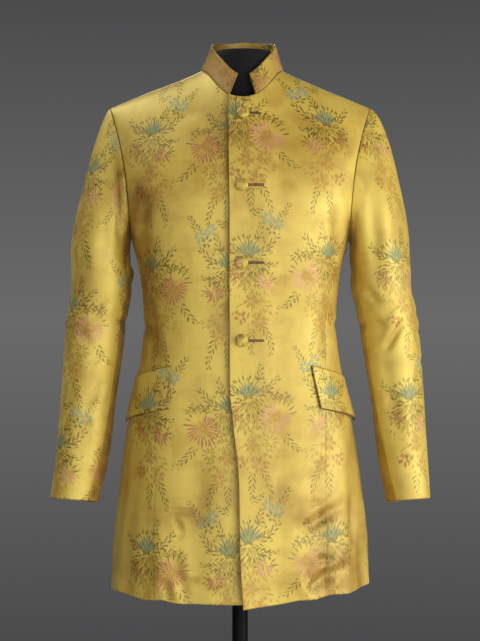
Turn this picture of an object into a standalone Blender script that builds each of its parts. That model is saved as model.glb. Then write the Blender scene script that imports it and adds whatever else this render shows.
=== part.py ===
"""A sherwani coat on a limbless dress form with a pole and a round base.

The coat is cut as a tailor cuts it: two fronts, two side bodies, two backs, two-piece sleeves,
a stand collar, two pocket flaps and four covered buttons. Every panel is a thin wall cut out of
one body surface. Metres, +Z up; the coat faces -Y and its wearer's left is +X.
"""

import math

import bmesh
import bpy
import numpy as np
from mathutils import Vector

COLLECTION = "sherwani_on_form"

# ---- Cloth and seams -------------------------------------------------------------------------
CLOTH = 0.0018  # brocade, interlining and lining worn as one wall
COLLAR_WALL = 0.0026
FLAP_WALL = 0.0020
SEAM = 0.0004  # gap between the edges of two sewn pieces
LAP_GAP = 0.0012  # between the buttoned front and the front under it
LAP = CLOTH + LAP_GAP
FLAP_GAP = 0.0012  # between a pocket flap and the panels that it lies on

# ---- The coat's outer surface ----------------------------------------------------------------
# One outline a level: its half width, its depths in front of and behind the side line, and how
# square it is (0 is an ellipse).
LEVEL = ("height", "half_width", "front", "back", "square")
LEVELS = (
    (0.600, 0.2110, 0.1420, 0.1340, 0.10),
    (0.700, 0.2060, 0.1360, 0.1310, 0.10),
    (0.780, 0.1963, 0.1290, 0.1280, 0.10),
    (0.860, 0.1880, 0.1230, 0.1250, 0.10),
    (0.915, 0.1795, 0.1170, 0.1190, 0.11),
    (0.960, 0.1700, 0.1120, 0.1110, 0.12),
    (1.004, 0.1625, 0.1080, 0.1030, 0.12),
    (1.053, 0.1580, 0.1070, 0.0980, 0.12),
    (1.095, 0.1608, 0.1120, 0.1000, 0.13),
    (1.140, 0.1668, 0.1190, 0.1060, 0.14),
    (1.180, 0.1765, 0.1235, 0.1125, 0.15),
    (1.235, 0.1920, 0.1240, 0.1160, 0.15),
    (1.300, 0.2050, 0.1130, 0.1180, 0.15),
    (1.340, 0.2125, 0.0990, 0.1200, 0.15),
    (1.380, 0.2195, 0.0920, 0.1180, 0.15),
    (1.4055, 0.2260, 0.0900, 0.1120, 0.15),
)
CHEST_Z = 1.235  # above this the surface rolls over towards the shoulder seam
ROLL_LENGTH = 0.240  # length of cloth in that roll
SHOULDER_X, SHOULDER_Z = 0.214, 1.4055  # the shoulder point, where the seam meets the sleeve
SHOULDER_SLOPE = 0.41
RIDGE_ROUND = 0.020  # how far from the centre the two shoulders' slopes blend into each other
NECK_RISE, NECK_RISE_WIDTH = 0.042, 0.040  # the seam's sweep up beside the neck
NECK_SHIFT, NECK_SHIFT_WIDTH = 0.0060, 0.090  # the neck sits a little to the wearer's left
NECK_SHIFT_FROM, NECK_SHIFT_TO = 1.25, 1.42
TOP = CHEST_Z + ROLL_LENGTH

# ---- Cutting lines ---------------------------------------------------------------------------
NECK_HALF, NECK_FRONT, NECK_BACK = 0.0685, 0.078, 0.064  # the neckline in plan
NECK_POINT = 1.5  # how pointed the front of that plan is; 1 is an ellipse
NECK_OPENING = 0.0205  # half the space between the collar's ends
ARMPIT_Z = 1.190
ARMHOLE_CURVE = 2.2  # how late the armhole swings out to the shoulder
ARMHOLE_FRONT, ARMHOLE_BACK, SLEEVE_HIND = 137.0, 227.0, 290.0  # degrees round it, of the seams
FRONT_SEAM = ((0.60, 37.5), (0.80, 41.5), (0.90, 46), (1.00, 55), (1.05, 60), (1.15, 64))  # z, deg
BACK_SEAM_DEG, BACK_SEAM_SWING_Z = 112.0, 1.05  # it swings to the armhole above that height
OVER_EDGE = (  # height and x of the buttoned front's free edge
    (0.600, 0.0050),
    (0.690, 0.0000),
    (0.800, -0.0020),
    (0.890, -0.0110),
    (0.950, -0.0165),
    (1.300, -0.0175),
    (TOP, -NECK_OPENING),
)
UNDER_EDGE_X = 0.0185
LAP_FULL_X, LAP_END_X = 0.035, 0.070  # the buttoned front rides over the other up to here
HEM_FRONT = {1: 0.6000, -1: 0.6075}  # at the centre, wearer's left then right
HEM_SIDE = {1: 0.6240, -1: 0.6180}
HEM_BACK = 0.6120
HEM_EARLY_RISE = 0.4  # the left front's hem rises sooner than the right's by this share

# ---- Sleeves: an armhole, a cap and a bent tube ----------------------------------------------
TUBE = ("height", "x", "half_width", "y", "half_depth")
TUBES = (
    (0.7630, 0.2715, 0.0385, -0.024, 0.0480),
    (0.8447, 0.2610, 0.0436, -0.011, 0.0510),
    (0.9250, 0.2540, 0.0456, 0.001, 0.0550),
    (1.0070, 0.2460, 0.0487, 0.009, 0.0595),
    (1.0570, 0.2410, 0.0500, 0.011, 0.0625),
    (1.1160, 0.2305, 0.0500, 0.009, 0.0660),
    (1.1650, 0.2298, 0.0483, 0.004, 0.0670),
)
SLEEVE_NARROW = {1: 0.003, -1: 0.0}  # how far the inner edge of each forearm is drawn in
SLEEVE_BOW = {1: 0.004, -1: -0.004}  # how far each sleeve swings out at mid length
BOW_FULLNESS = 0.6  # below 1 the swing spreads towards both ends
CAP_START = (0.94, -0.05, -0.33)  # the way the cap leaves the armhole
CAP_PULLS = {1: (0.38, 0.85), -1: (0.22, 0.52)}  # how far it keeps to its first and last way

# ---- Collar, flaps and buttons ---------------------------------------------------------------
COLLAR_TOP_HALF, COLLAR_TOP_FRONT, COLLAR_TOP_BACK = 0.052, 0.063, 0.060
COLLAR_TIP_X = 0.0087
COLLAR_TOP_Z = ((0, 1.452), (12, 1.457), (50, 1.487), (90, 1.511), (180, 1.525))  # deg, z
FLAP_CORNER_X, FLAP_CORNER_Z = {1: 0.1130, -1: 0.1085}, 0.984
FLAP_LENGTH, FLAP_HEIGHT, FLAP_SLANT_DEG = 0.132, 0.069, 12.0
FLAP_LEAN = {1: 0.006, -1: -0.006}  # how far its lower edge swings to the rear
FLAP_STAND = {1: 0.0055, -1: 0.0020}  # how far its lower rear corner stands off the hip
FLAP_CURL, FLAP_FRONT_SHARE = 1.5, 0.3  # how late it lifts, and its front corner's share of that
BUTTON_X = 0.0028
BUTTON_HEIGHTS = (1.387, 1.2705, 1.148, 1.024)
BUTTON_RADIUS, BUTTON_BACK_RADIUS, BUTTON_HEIGHT = 0.01025, 0.0070, 0.0070
BUTTON_EDGE = 0.4  # height of its widest line, as a share of its height
BUTTON_GAP = 0.0005  # from the curved front to the button's flat back

# ---- Dress form ------------------------------------------------------------------------------
FORM_EASE = (  # height and the space between the coat's outer surface and the form
    (0.79, 0.0150),
    (0.95, 0.0110),
    (1.05, 0.0080),
    (1.20, 0.0062),
    (1.30, 0.0085),
    (1.36, 0.0120),
)
FORM_HALF_SHOULDER = 0.209
FORM_RIDGE_DROP = 0.0031  # below the coat's shoulder seam: the cloth and a hair's breadth
FORM_BOTTOM = 0.790
NECK_COLUMN = (  # height, half width, front and back depth of the form's neck
    (1.3600, 0.0600, 0.0600, 0.0520),
    (1.4300, 0.0590, 0.0600, 0.0520),
    (1.4600, 0.0545, 0.0560, 0.0510),
    (1.4850, 0.0515, 0.0520, 0.0490),
    (1.4950, 0.0505, 0.0510, 0.0480),
    (1.4980, 0.0480, 0.0485, 0.0455),
)
POLE_RADIUS = 0.0130
SOCKET_DEPTH = 0.070
FIT = 0.0003  # radial space round the pole
HUB_RADIUS, HUB_HEIGHT = 0.034, 0.040
HUB_RIM, HUB_FOOT = 0.4, 0.62  # height of its rim and radius of its foot, as shares
BASE_RADIUS, BASE_EDGE, BASE_FLOOR = 0.200, 0.0065, 0.0045  # the plate and the pole's seat in it
BASE_DISH, BASE_CHAMFER, BASE_LIP = 0.010, 0.002, 0.005
BOSS_RADIUS, BOSS_TOP, BOSS_CHAMFER = 0.027, 0.045, 0.003  # the collar round the pole
BOSS_FLARE, FLARE_HIGH, FLARE_LOW = (0.002, 0.012), 0.012, 0.004  # where it runs out on the plate

# ---- How finely each piece is faceted --------------------------------------------------------
ROWS_BELOW, ROWS_ABOVE = 14, 8  # body rows up to the armhole, and along it
NECK_FRONT_STEPS, NECK_BACK_STEPS, SHOULDER_STEPS = 5, 6, 4
CENTRE_ROW_DROP = 0.06  # how far under mid-yoke the centre's row that meets the armpit lies
SIDE_STEPS = 6
CAP_ROWS, TUBE_ROWS = 7, 12
COLLAR_ROWS = 4
FLAP_STEPS, FLAP_ROWS = 8, 4
BUTTON_SEGMENTS, DOME_STEPS = 20, 6
ROUND_SEGMENTS, BASE_SEGMENTS = 32, 64
TORSO_STEP_DEG, TORSO_ROWS, YOKE_ROWS = 10, 12, 9
NEWTON_STEPS, HALVINGS = 8, 40  # enough to settle each search below a micrometre
ARC_STEPS = 400  # for measuring along the hip
MERGE = 1e-5  # points this close are one
NEAR = 1e-3  # half the step over which a sleeve's direction is measured
SHARP_DEG = 40.0  # edges steeper than this stay sharp


# ============================== Small maths =====================================================
def smoothstep(x):
    x = np.clip(x, 0.0, 1.0)
    return x * x * (3.0 - 2.0 * x)


def monotone(x, table, column=1):
    """A table's column at x by a monotone cubic, so that no bulge appears between its rows."""
    rows = np.array(table, float)
    xs, ys = rows[:, 0], rows[:, column]
    step = np.diff(xs)
    slope = np.diff(ys) / step
    knot = np.zeros(len(xs))
    knot[0], knot[-1] = slope[0], slope[-1]
    same_way = slope[:-1] * slope[1:] > 0
    before, after = 2 * step[1:] + step[:-1], step[1:] + 2 * step[:-1]
    safe = np.where(same_way, slope[:-1], 1.0), np.where(same_way, slope[1:], 1.0)
    mean = (before + after) / (before / safe[0] + after / safe[1])
    knot[1:-1] = np.where(same_way, mean, 0.0)
    x = np.asarray(x, float)
    i = np.clip(np.searchsorted(xs, x) - 1, 0, len(step) - 1)
    t = np.clip((x - xs[i]) / step[i], 0.0, 1.0)
    return (
        ys[i] * (1 + 2 * t) * (1 - t) ** 2
        + ys[i + 1] * t * t * (3 - 2 * t)
        + step[i] * t * (1 - t) * (knot[i] * (1 - t) - knot[i + 1] * t)
    )


def level_column(height, name):
    return monotone(height, LEVELS, LEVEL.index(name))


def tube_column(height, name):
    return monotone(height, TUBES, TUBE.index(name))


def unit(vectors):
    return vectors / np.linalg.norm(vectors, axis=-1, keepdims=True)


def resample(start, stop, count):
    """count + 1 even steps from start to stop."""
    return np.linspace(start, stop, count + 1)


# ============================== Body surface ====================================================
def ridge(x):
    """Height of the shoulder line at a distance from the centre."""
    inward = math.hypot(SHOULDER_X, RIDGE_ROUND) - np.hypot(x, RIDGE_ROUND)
    return SHOULDER_Z + SHOULDER_SLOPE * inward + neck_sweep(x)


def neck_sweep(x):
    return NECK_RISE * np.exp(-((x / NECK_RISE_WIDTH) ** 2))


def neck_shift(x, w):
    """How far the cloth near the neck sits to the wearer's left."""
    near = np.exp(-((x / NECK_SHIFT_WIDTH) ** 2))
    return NECK_SHIFT * near * smoothstep((w - NECK_SHIFT_FROM) / (NECK_SHIFT_TO - NECK_SHIFT_FROM))


def roll(w):
    """How far over towards the shoulder line the surface has rolled: 0 to a quarter turn."""
    return np.clip((w - CHEST_Z) / ROLL_LENGTH, 0.0, 1.0) * math.pi / 2


def level_of(w):
    """The outline that applies at a distance w along the cloth."""
    return np.where(w < CHEST_Z, w, CHEST_Z + (SHOULDER_Z - CHEST_Z) * np.sin(roll(w)))


def body_point(theta, w):
    """The coat's outer surface: theta is 0 in front and 90 degrees at +X, w the way up the cloth."""
    theta, w = np.broadcast_arrays(np.asarray(theta, float), np.asarray(w, float))
    level = level_of(w)
    sine, cosine = np.sin(theta), np.cos(theta)
    square = level_column(level, "square")
    x = level_column(level, "half_width") * sine * (1 + square * cosine**2)
    depth = np.where(cosine > 0, level_column(level, "front"), level_column(level, "back"))
    y = -depth * cosine * (1 + square * sine**2) * np.cos(roll(w))
    z = np.where(w < CHEST_Z, w, CHEST_Z + (ridge(x) - CHEST_Z) * np.sin(roll(w)))
    return np.stack([x + neck_shift(x, w), y, z], axis=-1)


def body_normal(theta, w, step=1e-4):
    """Outward unit normal of that surface."""
    around = body_point(theta + step, w) - body_point(theta - step, w)
    up = body_point(theta, w + step) - body_point(theta, w - step)
    return unit(np.cross(around, up))


def theta_at_x(x, level):
    """The angle at which a level's front outline reaches x."""
    square = level_column(level, "square")
    goal = np.clip(np.asarray(x, float) / level_column(level, "half_width"), -1.0, 1.0)
    sine = goal / (1 + square * (1 - goal**2))
    for _ in range(NEWTON_STEPS):
        error = sine * (1 + square * (1 - sine**2)) - goal
        sine = np.clip(sine - error / (1 + square - 3 * square * sine**2), -1.0, 1.0)
    return np.arcsin(sine)


def body_wall(grid, lift=0.0, thickness=CLOTH):
    """Outer and inner points of a wall over a grid of (theta, w), its outer face lifted."""
    theta, w = grid[..., 0], grid[..., 1]
    normal = body_normal(theta, w)
    outer = body_point(theta, w) + normal * np.expand_dims(np.broadcast_to(lift, w.shape), -1)
    return outer, outer - normal * thickness


# ============================== Cutting lines ===================================================
def neckline(psi):
    """(theta, w) of the neckline at a plan angle round it: 0 in front, 180 degrees behind."""
    psi = np.asarray(psi, float)
    goal_x = NECK_HALF * np.abs(np.sin(psi))
    ahead = np.maximum(np.cos(psi), 0.0)
    goal_y = np.where(ahead > 0, NECK_FRONT * ahead**NECK_POINT, NECK_BACK * np.abs(np.cos(psi)))
    low, high = np.full(psi.shape, CHEST_Z), np.full(psi.shape, TOP)
    for _ in range(HALVINGS):
        w = (low + high) / 2
        theta = theta_at_x(goal_x, level_of(w))
        theta = np.where(np.cos(psi) > 0, theta, math.pi - theta)
        outside = np.abs(body_point(theta, w)[..., 1]) > goal_y
        low, high = np.where(outside, w, low), np.where(outside, high, w)
    return np.stack([np.where(np.sin(psi) < 0, -theta, theta), w], axis=-1)


def armhole(phi):
    """(theta, w) round the armhole: phi 0 at the shoulder point, 90 in front, 180 at the armpit."""
    phi = np.asarray(phi, float)
    z = (SHOULDER_Z + ARMPIT_Z) / 2 + (SHOULDER_Z - ARMPIT_Z) / 2 * np.cos(phi)
    armpit_x = level_column(ARMPIT_Z, "half_width")
    out = ((1 + np.cos(phi)) / 2) ** ARMHOLE_CURVE
    x = armpit_x + (SHOULDER_X - armpit_x) * out
    turned = np.arcsin(np.clip((z - CHEST_Z) / (ridge(x) - CHEST_Z), 0.0, 1.0))
    w = np.where(z < CHEST_Z, z, CHEST_Z + ROLL_LENGTH * turned / (math.pi / 2))
    theta = theta_at_x(x, level_of(w))
    behind = np.mod(phi, 2 * math.pi) > math.pi
    return np.stack([np.where(behind, math.pi - theta, theta), w], axis=-1)


def neck_steps():
    """Plan angles of the neckline's points from the collar's end to the shoulder, and on behind."""
    end = math.asin(NECK_OPENING / NECK_HALF)
    return resample(end, math.pi / 2, NECK_FRONT_STEPS), resample(math.pi / 2, math.pi, NECK_BACK_STEPS)


def shoulder_seam():
    """(theta, w) along the shoulder seam's front side, from the neckline to the armhole."""
    theta = theta_at_x(resample(NECK_HALF, SHOULDER_X, SHOULDER_STEPS), SHOULDER_Z)
    return np.stack([theta, np.full(theta.shape, TOP)], axis=-1)


def hem_height(theta, side):
    """The hem's height: it rises from the centre front to the side and drops a little behind."""
    across = np.abs(np.sin(theta))
    early = (1 + HEM_EARLY_RISE) * across - HEM_EARLY_RISE * across**2
    curve = early if side > 0 else across**2
    front = HEM_FRONT[side] + (HEM_SIDE[side] - HEM_FRONT[side]) * curve
    back = HEM_BACK + (HEM_SIDE[side] - HEM_BACK) * across**2
    return np.where(np.cos(theta) > 0, front, back)


def front_seam(side):
    """(theta, w) up the seam between a front and its side body, from the hem to the armhole."""
    top = armhole(math.radians(ARMHOLE_FRONT))
    table = FRONT_SEAM + ((top[1], math.degrees(top[0])),)
    foot = float(hem_height(math.radians(FRONT_SEAM[0][1]), side))
    w = resample(foot, top[1], ROWS_BELOW)
    return np.stack([np.radians(monotone(w, table)), w], axis=-1)


def back_seam(side):
    """(theta, w) up the seam between a side body and its back."""
    top = armhole(math.radians(ARMHOLE_BACK))
    foot = float(hem_height(math.radians(BACK_SEAM_DEG), side))
    w = resample(foot, top[1], ROWS_BELOW)
    swing = smoothstep((w - BACK_SEAM_SWING_Z) / (top[1] - BACK_SEAM_SWING_Z))
    theta = math.radians(BACK_SEAM_DEG) * (1 - swing) + top[0] * swing
    return np.stack([theta, w], axis=-1)


def hem(start, stop, count, side):
    theta = resample(start, stop, count)
    return np.stack([theta, hem_height(theta, side)], axis=-1)


def centre_rows(foot, top):
    """(theta, w) up the centre back, its rows beside those of the seam opposite."""
    rows = ROWS_BELOW + ROWS_ABOVE
    middle = (CHEST_Z + top) / 2 - CENTRE_ROW_DROP
    w = np.interp(np.arange(rows + 1), (0, ROWS_BELOW, rows), (foot, middle, top))
    return np.stack([np.full(w.shape, math.pi), w], axis=-1)


def patch(left, right, bottom, top):
    """A Coons patch: a grid of rows from bottom to top that fits its four edges."""
    u = np.linspace(0, 1, len(bottom))[None, :, None]
    v = np.linspace(0, 1, len(left))[:, None, None]
    across = (1 - u) * left[:, None] + u * right[:, None]
    up = (1 - v) * bottom[None] + v * top[None]
    corners = (1 - v) * ((1 - u) * bottom[0] + u * bottom[-1]) + v * ((1 - u) * top[0] + u * top[-1])
    return across + up - corners


# ============================== Meshes ==========================================================
def drawn_back(points, sides):
    """The grid with the named edges pulled back along the cloth by half a seam gap."""
    edges = {
        "left": (np.s_[:, 0], np.s_[:, 1]),
        "right": (np.s_[:, -1], np.s_[:, -2]),
        "bottom": (np.s_[0], np.s_[1]),
        "top": (np.s_[-1], np.s_[-2]),
    }
    moved = points.copy()
    for side in sides:
        edge, beside = edges[side]
        moved[edge] += unit(points[beside] - points[edge]) * SEAM / 2
    return moved


def link(name, mesh, material):
    """A named object for a mesh, in the coat's collection and with its material."""
    obj = bpy.data.objects.new(name, mesh)
    mesh.materials.append(material)
    mesh.shade_smooth()
    mesh.set_sharp_from_angle(angle=math.radians(SHARP_DEG))
    bpy.data.collections[COLLECTION].objects.link(obj)
    return obj


def mesh_of(build):
    """A mesh from a bmesh, its faces turned outward."""
    bmesh.ops.recalc_face_normals(build, faces=build.faces)
    mesh = bpy.data.meshes.new("mesh")
    build.to_mesh(mesh)
    build.free()
    return mesh


def wall(name, outer, inner, material, sides=()):
    """One closed solid between two grids: outer face, inner face and the rim that joins them."""
    build = bmesh.new()
    rows, columns = outer.shape[:2]
    skins = []
    for points in (outer, inner):
        points = drawn_back(points, sides)
        skins.append([[build.verts.new(point) for point in row] for row in points])
    for row in range(rows - 1):
        for column in range(columns - 1):
            for skin in skins:
                corners = (
                    skin[row][column],
                    skin[row][column + 1],
                    skin[row + 1][column + 1],
                    skin[row + 1][column],
                )
                build.faces.new(corners)
    rim = [(0, column) for column in range(columns - 1)]
    rim += [(row, columns - 1) for row in range(rows - 1)]
    rim += [(rows - 1, column) for column in range(columns - 1, 0, -1)]
    rim += [(row, 0) for row in range(rows - 1, 0, -1)]
    for (row, column), (next_row, next_column) in zip(rim, rim[1:] + rim[:1]):
        first, second = skins
        build.faces.new(
            (
                first[row][column],
                first[next_row][next_column],
                second[next_row][next_column],
                second[row][column],
            )
        )
    return link(name, mesh_of(build), material)


def closed_loft(rings):
    """A capped solid through rings of points, all with the same count, from bottom to top."""
    build = bmesh.new()
    loops = [[build.verts.new(point) for point in ring] for ring in rings]
    for lower, upper in zip(loops, loops[1:]):
        for i in range(len(lower)):
            j = (i + 1) % len(lower)
            build.faces.new((lower[i], lower[j], upper[j], upper[i]))
    build.faces.new(loops[0])
    build.faces.new(loops[-1])
    return build


def cylinder(radius, bottom, top):
    build = bmesh.new()
    bmesh.ops.create_cone(
        build,
        cap_ends=True,
        segments=ROUND_SEGMENTS,
        radius1=radius,
        radius2=radius,
        depth=top - bottom,
    )
    bmesh.ops.translate(build, verts=build.verts, vec=(0, 0, (top + bottom) / 2))
    return build


def turned(name, profile, material, segments, ring=False):
    """A profile of (radius, height) turned about Z, down its outer side; a ring's profile closes."""
    mesh = bpy.data.meshes.new("profile")
    ends = list(range(len(profile))) + ([0] if ring else [])
    mesh.from_pydata([(r, 0.0, z) for r, z in profile], list(zip(ends, ends[1:])), [])
    obj = bpy.data.objects.new(name, mesh)
    bpy.data.collections[COLLECTION].objects.link(obj)
    mesh.materials.append(material)
    screw = obj.modifiers.new("turn", "SCREW")
    screw.steps = screw.render_steps = segments
    screw.use_merge_vertices = True
    screw.merge_threshold = MERGE
    return obj


def boolean(obj, cutter, operation):
    """Apply an exact Boolean with a helper object, then remove the helper."""
    modifier = obj.modifiers.new(operation.lower(), "BOOLEAN")
    modifier.operation = operation
    modifier.solver = "EXACT"
    modifier.object = cutter
    bpy.context.view_layer.update()
    evaluated = obj.evaluated_get(bpy.context.evaluated_depsgraph_get())
    mesh = bpy.data.meshes.new_from_object(evaluated)
    obj.modifiers.clear()
    obj.data = mesh
    bpy.data.objects.remove(cutter)


# ============================== Coat ============================================================
def over_lift(x):
    """How far the buttoned front stands off the body surface."""
    return LAP * smoothstep((LAP_END_X - x) / (LAP_END_X - LAP_FULL_X))


def front_edge_x(w, side):
    """x of a front's free edge: the buttoned one leans, the one under it is straight."""
    return monotone(w, OVER_EDGE) if side > 0 else np.full(np.shape(w), -UNDER_EDGE_X)


def front_grid(side):
    """(theta, w) over one front: centre edge to side seam, hem to neckline and shoulder."""
    edge_psi = math.asin(float(front_edge_x(TOP, side)) / NECK_HALF)
    neck = neckline(np.concatenate([[edge_psi, 0.0], neck_steps()[0]]))
    top = np.concatenate([neck, shoulder_seam()[1:]])
    seam = front_seam(side)
    foot = HEM_FRONT[side]
    centre = centre_rows(foot, neck[0, 1])
    centre[:, 0] = theta_at_x(front_edge_x(centre[:, 1], side), level_of(centre[:, 1]))
    centre[-1] = neck[0]
    hem_edge = hem(centre[0, 0], seam[0, 0], len(top) - 1, side)
    hem_edge[0, 1] = foot
    scye = armhole(np.radians(resample(ARMHOLE_FRONT, 0, ROWS_ABOVE)))
    return patch(centre, np.concatenate([seam, scye[1:]]), hem_edge, top)


def side_grid(side):
    seam, rear = front_seam(side), back_seam(side)
    scye = armhole(np.radians(resample(ARMHOLE_FRONT, ARMHOLE_BACK, SIDE_STEPS)))
    return patch(seam, rear, hem(seam[0, 0], rear[0, 0], SIDE_STEPS, side), scye)


def back_grid(side):
    """(theta, w) over one back: side seam to centre back."""
    seam = back_seam(side)
    half = ROWS_ABOVE // 2
    lower, upper = resample(ARMHOLE_BACK, SLEEVE_HIND, half), resample(SLEEVE_HIND, 360, half)
    scye = armhole(np.radians(np.concatenate([lower, upper[1:]])))
    shoulder = shoulder_seam()[::-1] * (-1, 1) + (math.pi, 0)
    scye[-1] = shoulder[0]
    neck = neckline(neck_steps()[1])
    top = np.concatenate([shoulder, neck[1:]])
    centre = centre_rows(HEM_BACK, neck[-1, 1])
    edge = hem(seam[0, 0], math.pi, len(top) - 1, side)
    return patch(np.concatenate([seam, scye[1:]]), centre, edge, top)


def on_side(grid, side):
    """A grid drawn for +X, mirrored to -X where the side asks for it."""
    return grid if side > 0 else (grid * (-1, 1))[:, ::-1]


def make_panels(side, suffix, satin):
    grid = on_side(front_grid(side), side)
    x = body_point(grid[..., 0], grid[..., 1])[..., 0]
    lift = over_lift(x) if side > 0 else 0.0
    wall("front_" + suffix, *body_wall(grid, lift), satin, ("left", "right", "top"))
    grid = on_side(side_grid(side), side)
    wall("side_" + suffix, *body_wall(grid), satin, ("left", "right", "top"))
    grid = on_side(back_grid(side), side)
    wall("back_" + suffix, *body_wall(grid), satin, ("left", "right", "top"))


def tube_centre(height):
    return np.stack([tube_column(height, "x"), tube_column(height, "y"), height], axis=-1)


def sleeve_point(phi, v, side):
    """A sleeve's surface: v runs 0 to 1 down the cap and 1 to 2 down the tube."""
    phi, v = np.broadcast_arrays(np.asarray(phi, float), np.asarray(v, float))
    top_z, cuff_z = TUBES[-1][0], TUBES[0][0]
    down = np.clip(v - 1.0, 0.0, 1.0)
    height = top_z + (cuff_z - top_z) * down
    centre = tube_centre(height)
    axis = unit(tube_centre(height - NEAR) - tube_centre(height + NEAR))
    centre[..., 0] += SLEEVE_BOW[side] * np.sin(math.pi * down) ** BOW_FULLNESS
    centre[..., 0] += SLEEVE_NARROW[side] * down
    out = (tube_column(height, "half_width") - SLEEVE_NARROW[side] * down) * np.cos(phi)
    ahead = -tube_column(height, "half_depth") * np.sin(phi)
    tilt = (axis[..., 0] * out + axis[..., 1] * ahead) / -axis[..., 2] * smoothstep(down)
    ring = centre + np.stack([out, ahead, tilt], axis=-1)
    loop = armhole(phi)
    start = body_point(loop[..., 0], loop[..., 1])
    away = unit(np.array(CAP_START))
    start = start + away * SEAM
    reach = np.linalg.norm(ring - start, axis=-1, keepdims=True)
    t = np.clip(v, 0.0, 1.0)[..., None]
    first, last = CAP_PULLS[side]
    leave, arrive = away * first * reach, axis * last * reach
    cap = (
        start * (1 + 2 * t) * (1 - t) ** 2
        + ring * t * t * (3 - 2 * t)
        + t * (1 - t) * (leave * (1 - t) - arrive * t)
    )
    return np.where(v[..., None] < 1.0, cap, ring)


def sleeve_normal(phi, v, side, step=1e-4):
    before, after = np.maximum(v - step, 0.0), np.minimum(v + step, 2.0)
    around = sleeve_point(phi + step, v, side) - sleeve_point(phi - step, v, side)
    down = sleeve_point(phi, after, side) - sleeve_point(phi, before, side)
    return unit(np.cross(around, down))


def make_sleeve(side, suffix, satin):
    """A top sleeve and an under sleeve, seamed in front and behind."""
    v = np.concatenate([resample(0, 1, CAP_ROWS), resample(1, 2, TUBE_ROWS)[1:]])
    half = ROWS_ABOVE // 2
    spans = {
        "top": np.concatenate(
            [resample(SLEEVE_HIND - 360, 0, half), resample(0, ARMHOLE_FRONT, ROWS_ABOVE)[1:]]
        ),
        "under": np.concatenate(
            [
                resample(ARMHOLE_FRONT, ARMHOLE_BACK, SIDE_STEPS),
                resample(ARMHOLE_BACK, SLEEVE_HIND, half)[1:],
            ]
        ),
    }
    for part, degrees in spans.items():
        phi, down = np.meshgrid(np.radians(degrees), v)
        outer = sleeve_point(phi, down, side)
        inner = outer - sleeve_normal(phi, down, side) * CLOTH
        mirror = np.array((side, 1, 1))
        wall(f"sleeve_{part}_{suffix}", outer * mirror, inner * mirror, satin, ("left", "right"))


def collar_foot(psi):
    """Points on the neckline, lifted with the buttoned front where that front carries them."""
    loop = neckline(psi)
    foot = body_point(loop[..., 0], loop[..., 1])
    on_over = (psi > 0) & (psi < math.pi / 2)
    lift = np.where(on_over, over_lift(foot[..., 0]), 0.0)
    return foot + body_normal(loop[..., 0], loop[..., 1]) * lift[..., None]


def make_collar(satin):
    """A stand collar that narrows upwards, open at the centre front."""
    ahead, behind = neck_steps()
    half = np.concatenate([ahead, behind[1:]])
    psi = np.concatenate([half, -half[-2::-1]])
    foot = collar_foot(psi)
    tip = math.asin(COLLAR_TIP_X / COLLAR_TOP_HALF)
    from_end = (np.abs(psi) - half[0]) / (math.pi - half[0])
    top_psi = np.sign(psi) * (tip + (math.pi - tip) * from_end)
    from_front = np.degrees(np.abs(top_psi))
    depth = np.where(np.cos(top_psi) > 0, COLLAR_TOP_FRONT, COLLAR_TOP_BACK)
    top = np.stack(
        [
            COLLAR_TOP_HALF * np.sin(top_psi) + NECK_SHIFT,
            -depth * np.cos(top_psi),
            monotone(from_front, COLLAR_TOP_Z),
        ],
        axis=-1,
    )
    t = resample(0, 1, COLLAR_ROWS)[:, None, None]
    foot = foot + unit(top - foot) * SEAM
    outer = foot[None] * (1 - t) + top[None] * t
    around = np.gradient(outer, axis=1)
    up = np.broadcast_to(top - foot, outer.shape)
    inner = outer - unit(np.cross(around, up)) * COLLAR_WALL
    wall("collar", outer, inner, satin)


def flap_grid(side):
    """(theta, w) over a flap, and how far each point stands off: bottom edge up, front to rear."""
    level = FLAP_CORNER_Z - FLAP_HEIGHT / 2
    fine = resample(0, math.pi, ARC_STEPS)
    steps = np.linalg.norm(np.diff(body_point(fine, level), axis=0), axis=1)
    travelled = np.concatenate([[0], np.cumsum(steps)])
    start = np.interp(float(theta_at_x(FLAP_CORNER_X[side], FLAP_CORNER_Z)), fine, travelled)
    along, down = np.meshgrid(resample(0, 1, FLAP_STEPS), resample(1, 0, FLAP_ROWS))
    slant = math.radians(FLAP_SLANT_DEG)
    arc = start + FLAP_LENGTH * math.cos(slant) * along + FLAP_LEAN[side] * down
    w = FLAP_CORNER_Z - FLAP_LENGTH * math.sin(slant) * along - FLAP_HEIGHT * down
    share = FLAP_FRONT_SHARE + (1 - FLAP_FRONT_SHARE) * along
    stand = FLAP_GAP + FLAP_STAND[side] * down**FLAP_CURL * share
    return np.stack([np.interp(arc, travelled, fine), w], axis=-1), stand


def make_flap(side, suffix, satin):
    grid, stand = flap_grid(side)
    grid = on_side(grid, side)
    stand = stand if side > 0 else stand[:, ::-1]
    outer, inner = body_wall(grid, stand + FLAP_WALL, FLAP_WALL)
    wall("flap_" + suffix, outer, inner, satin)


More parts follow.
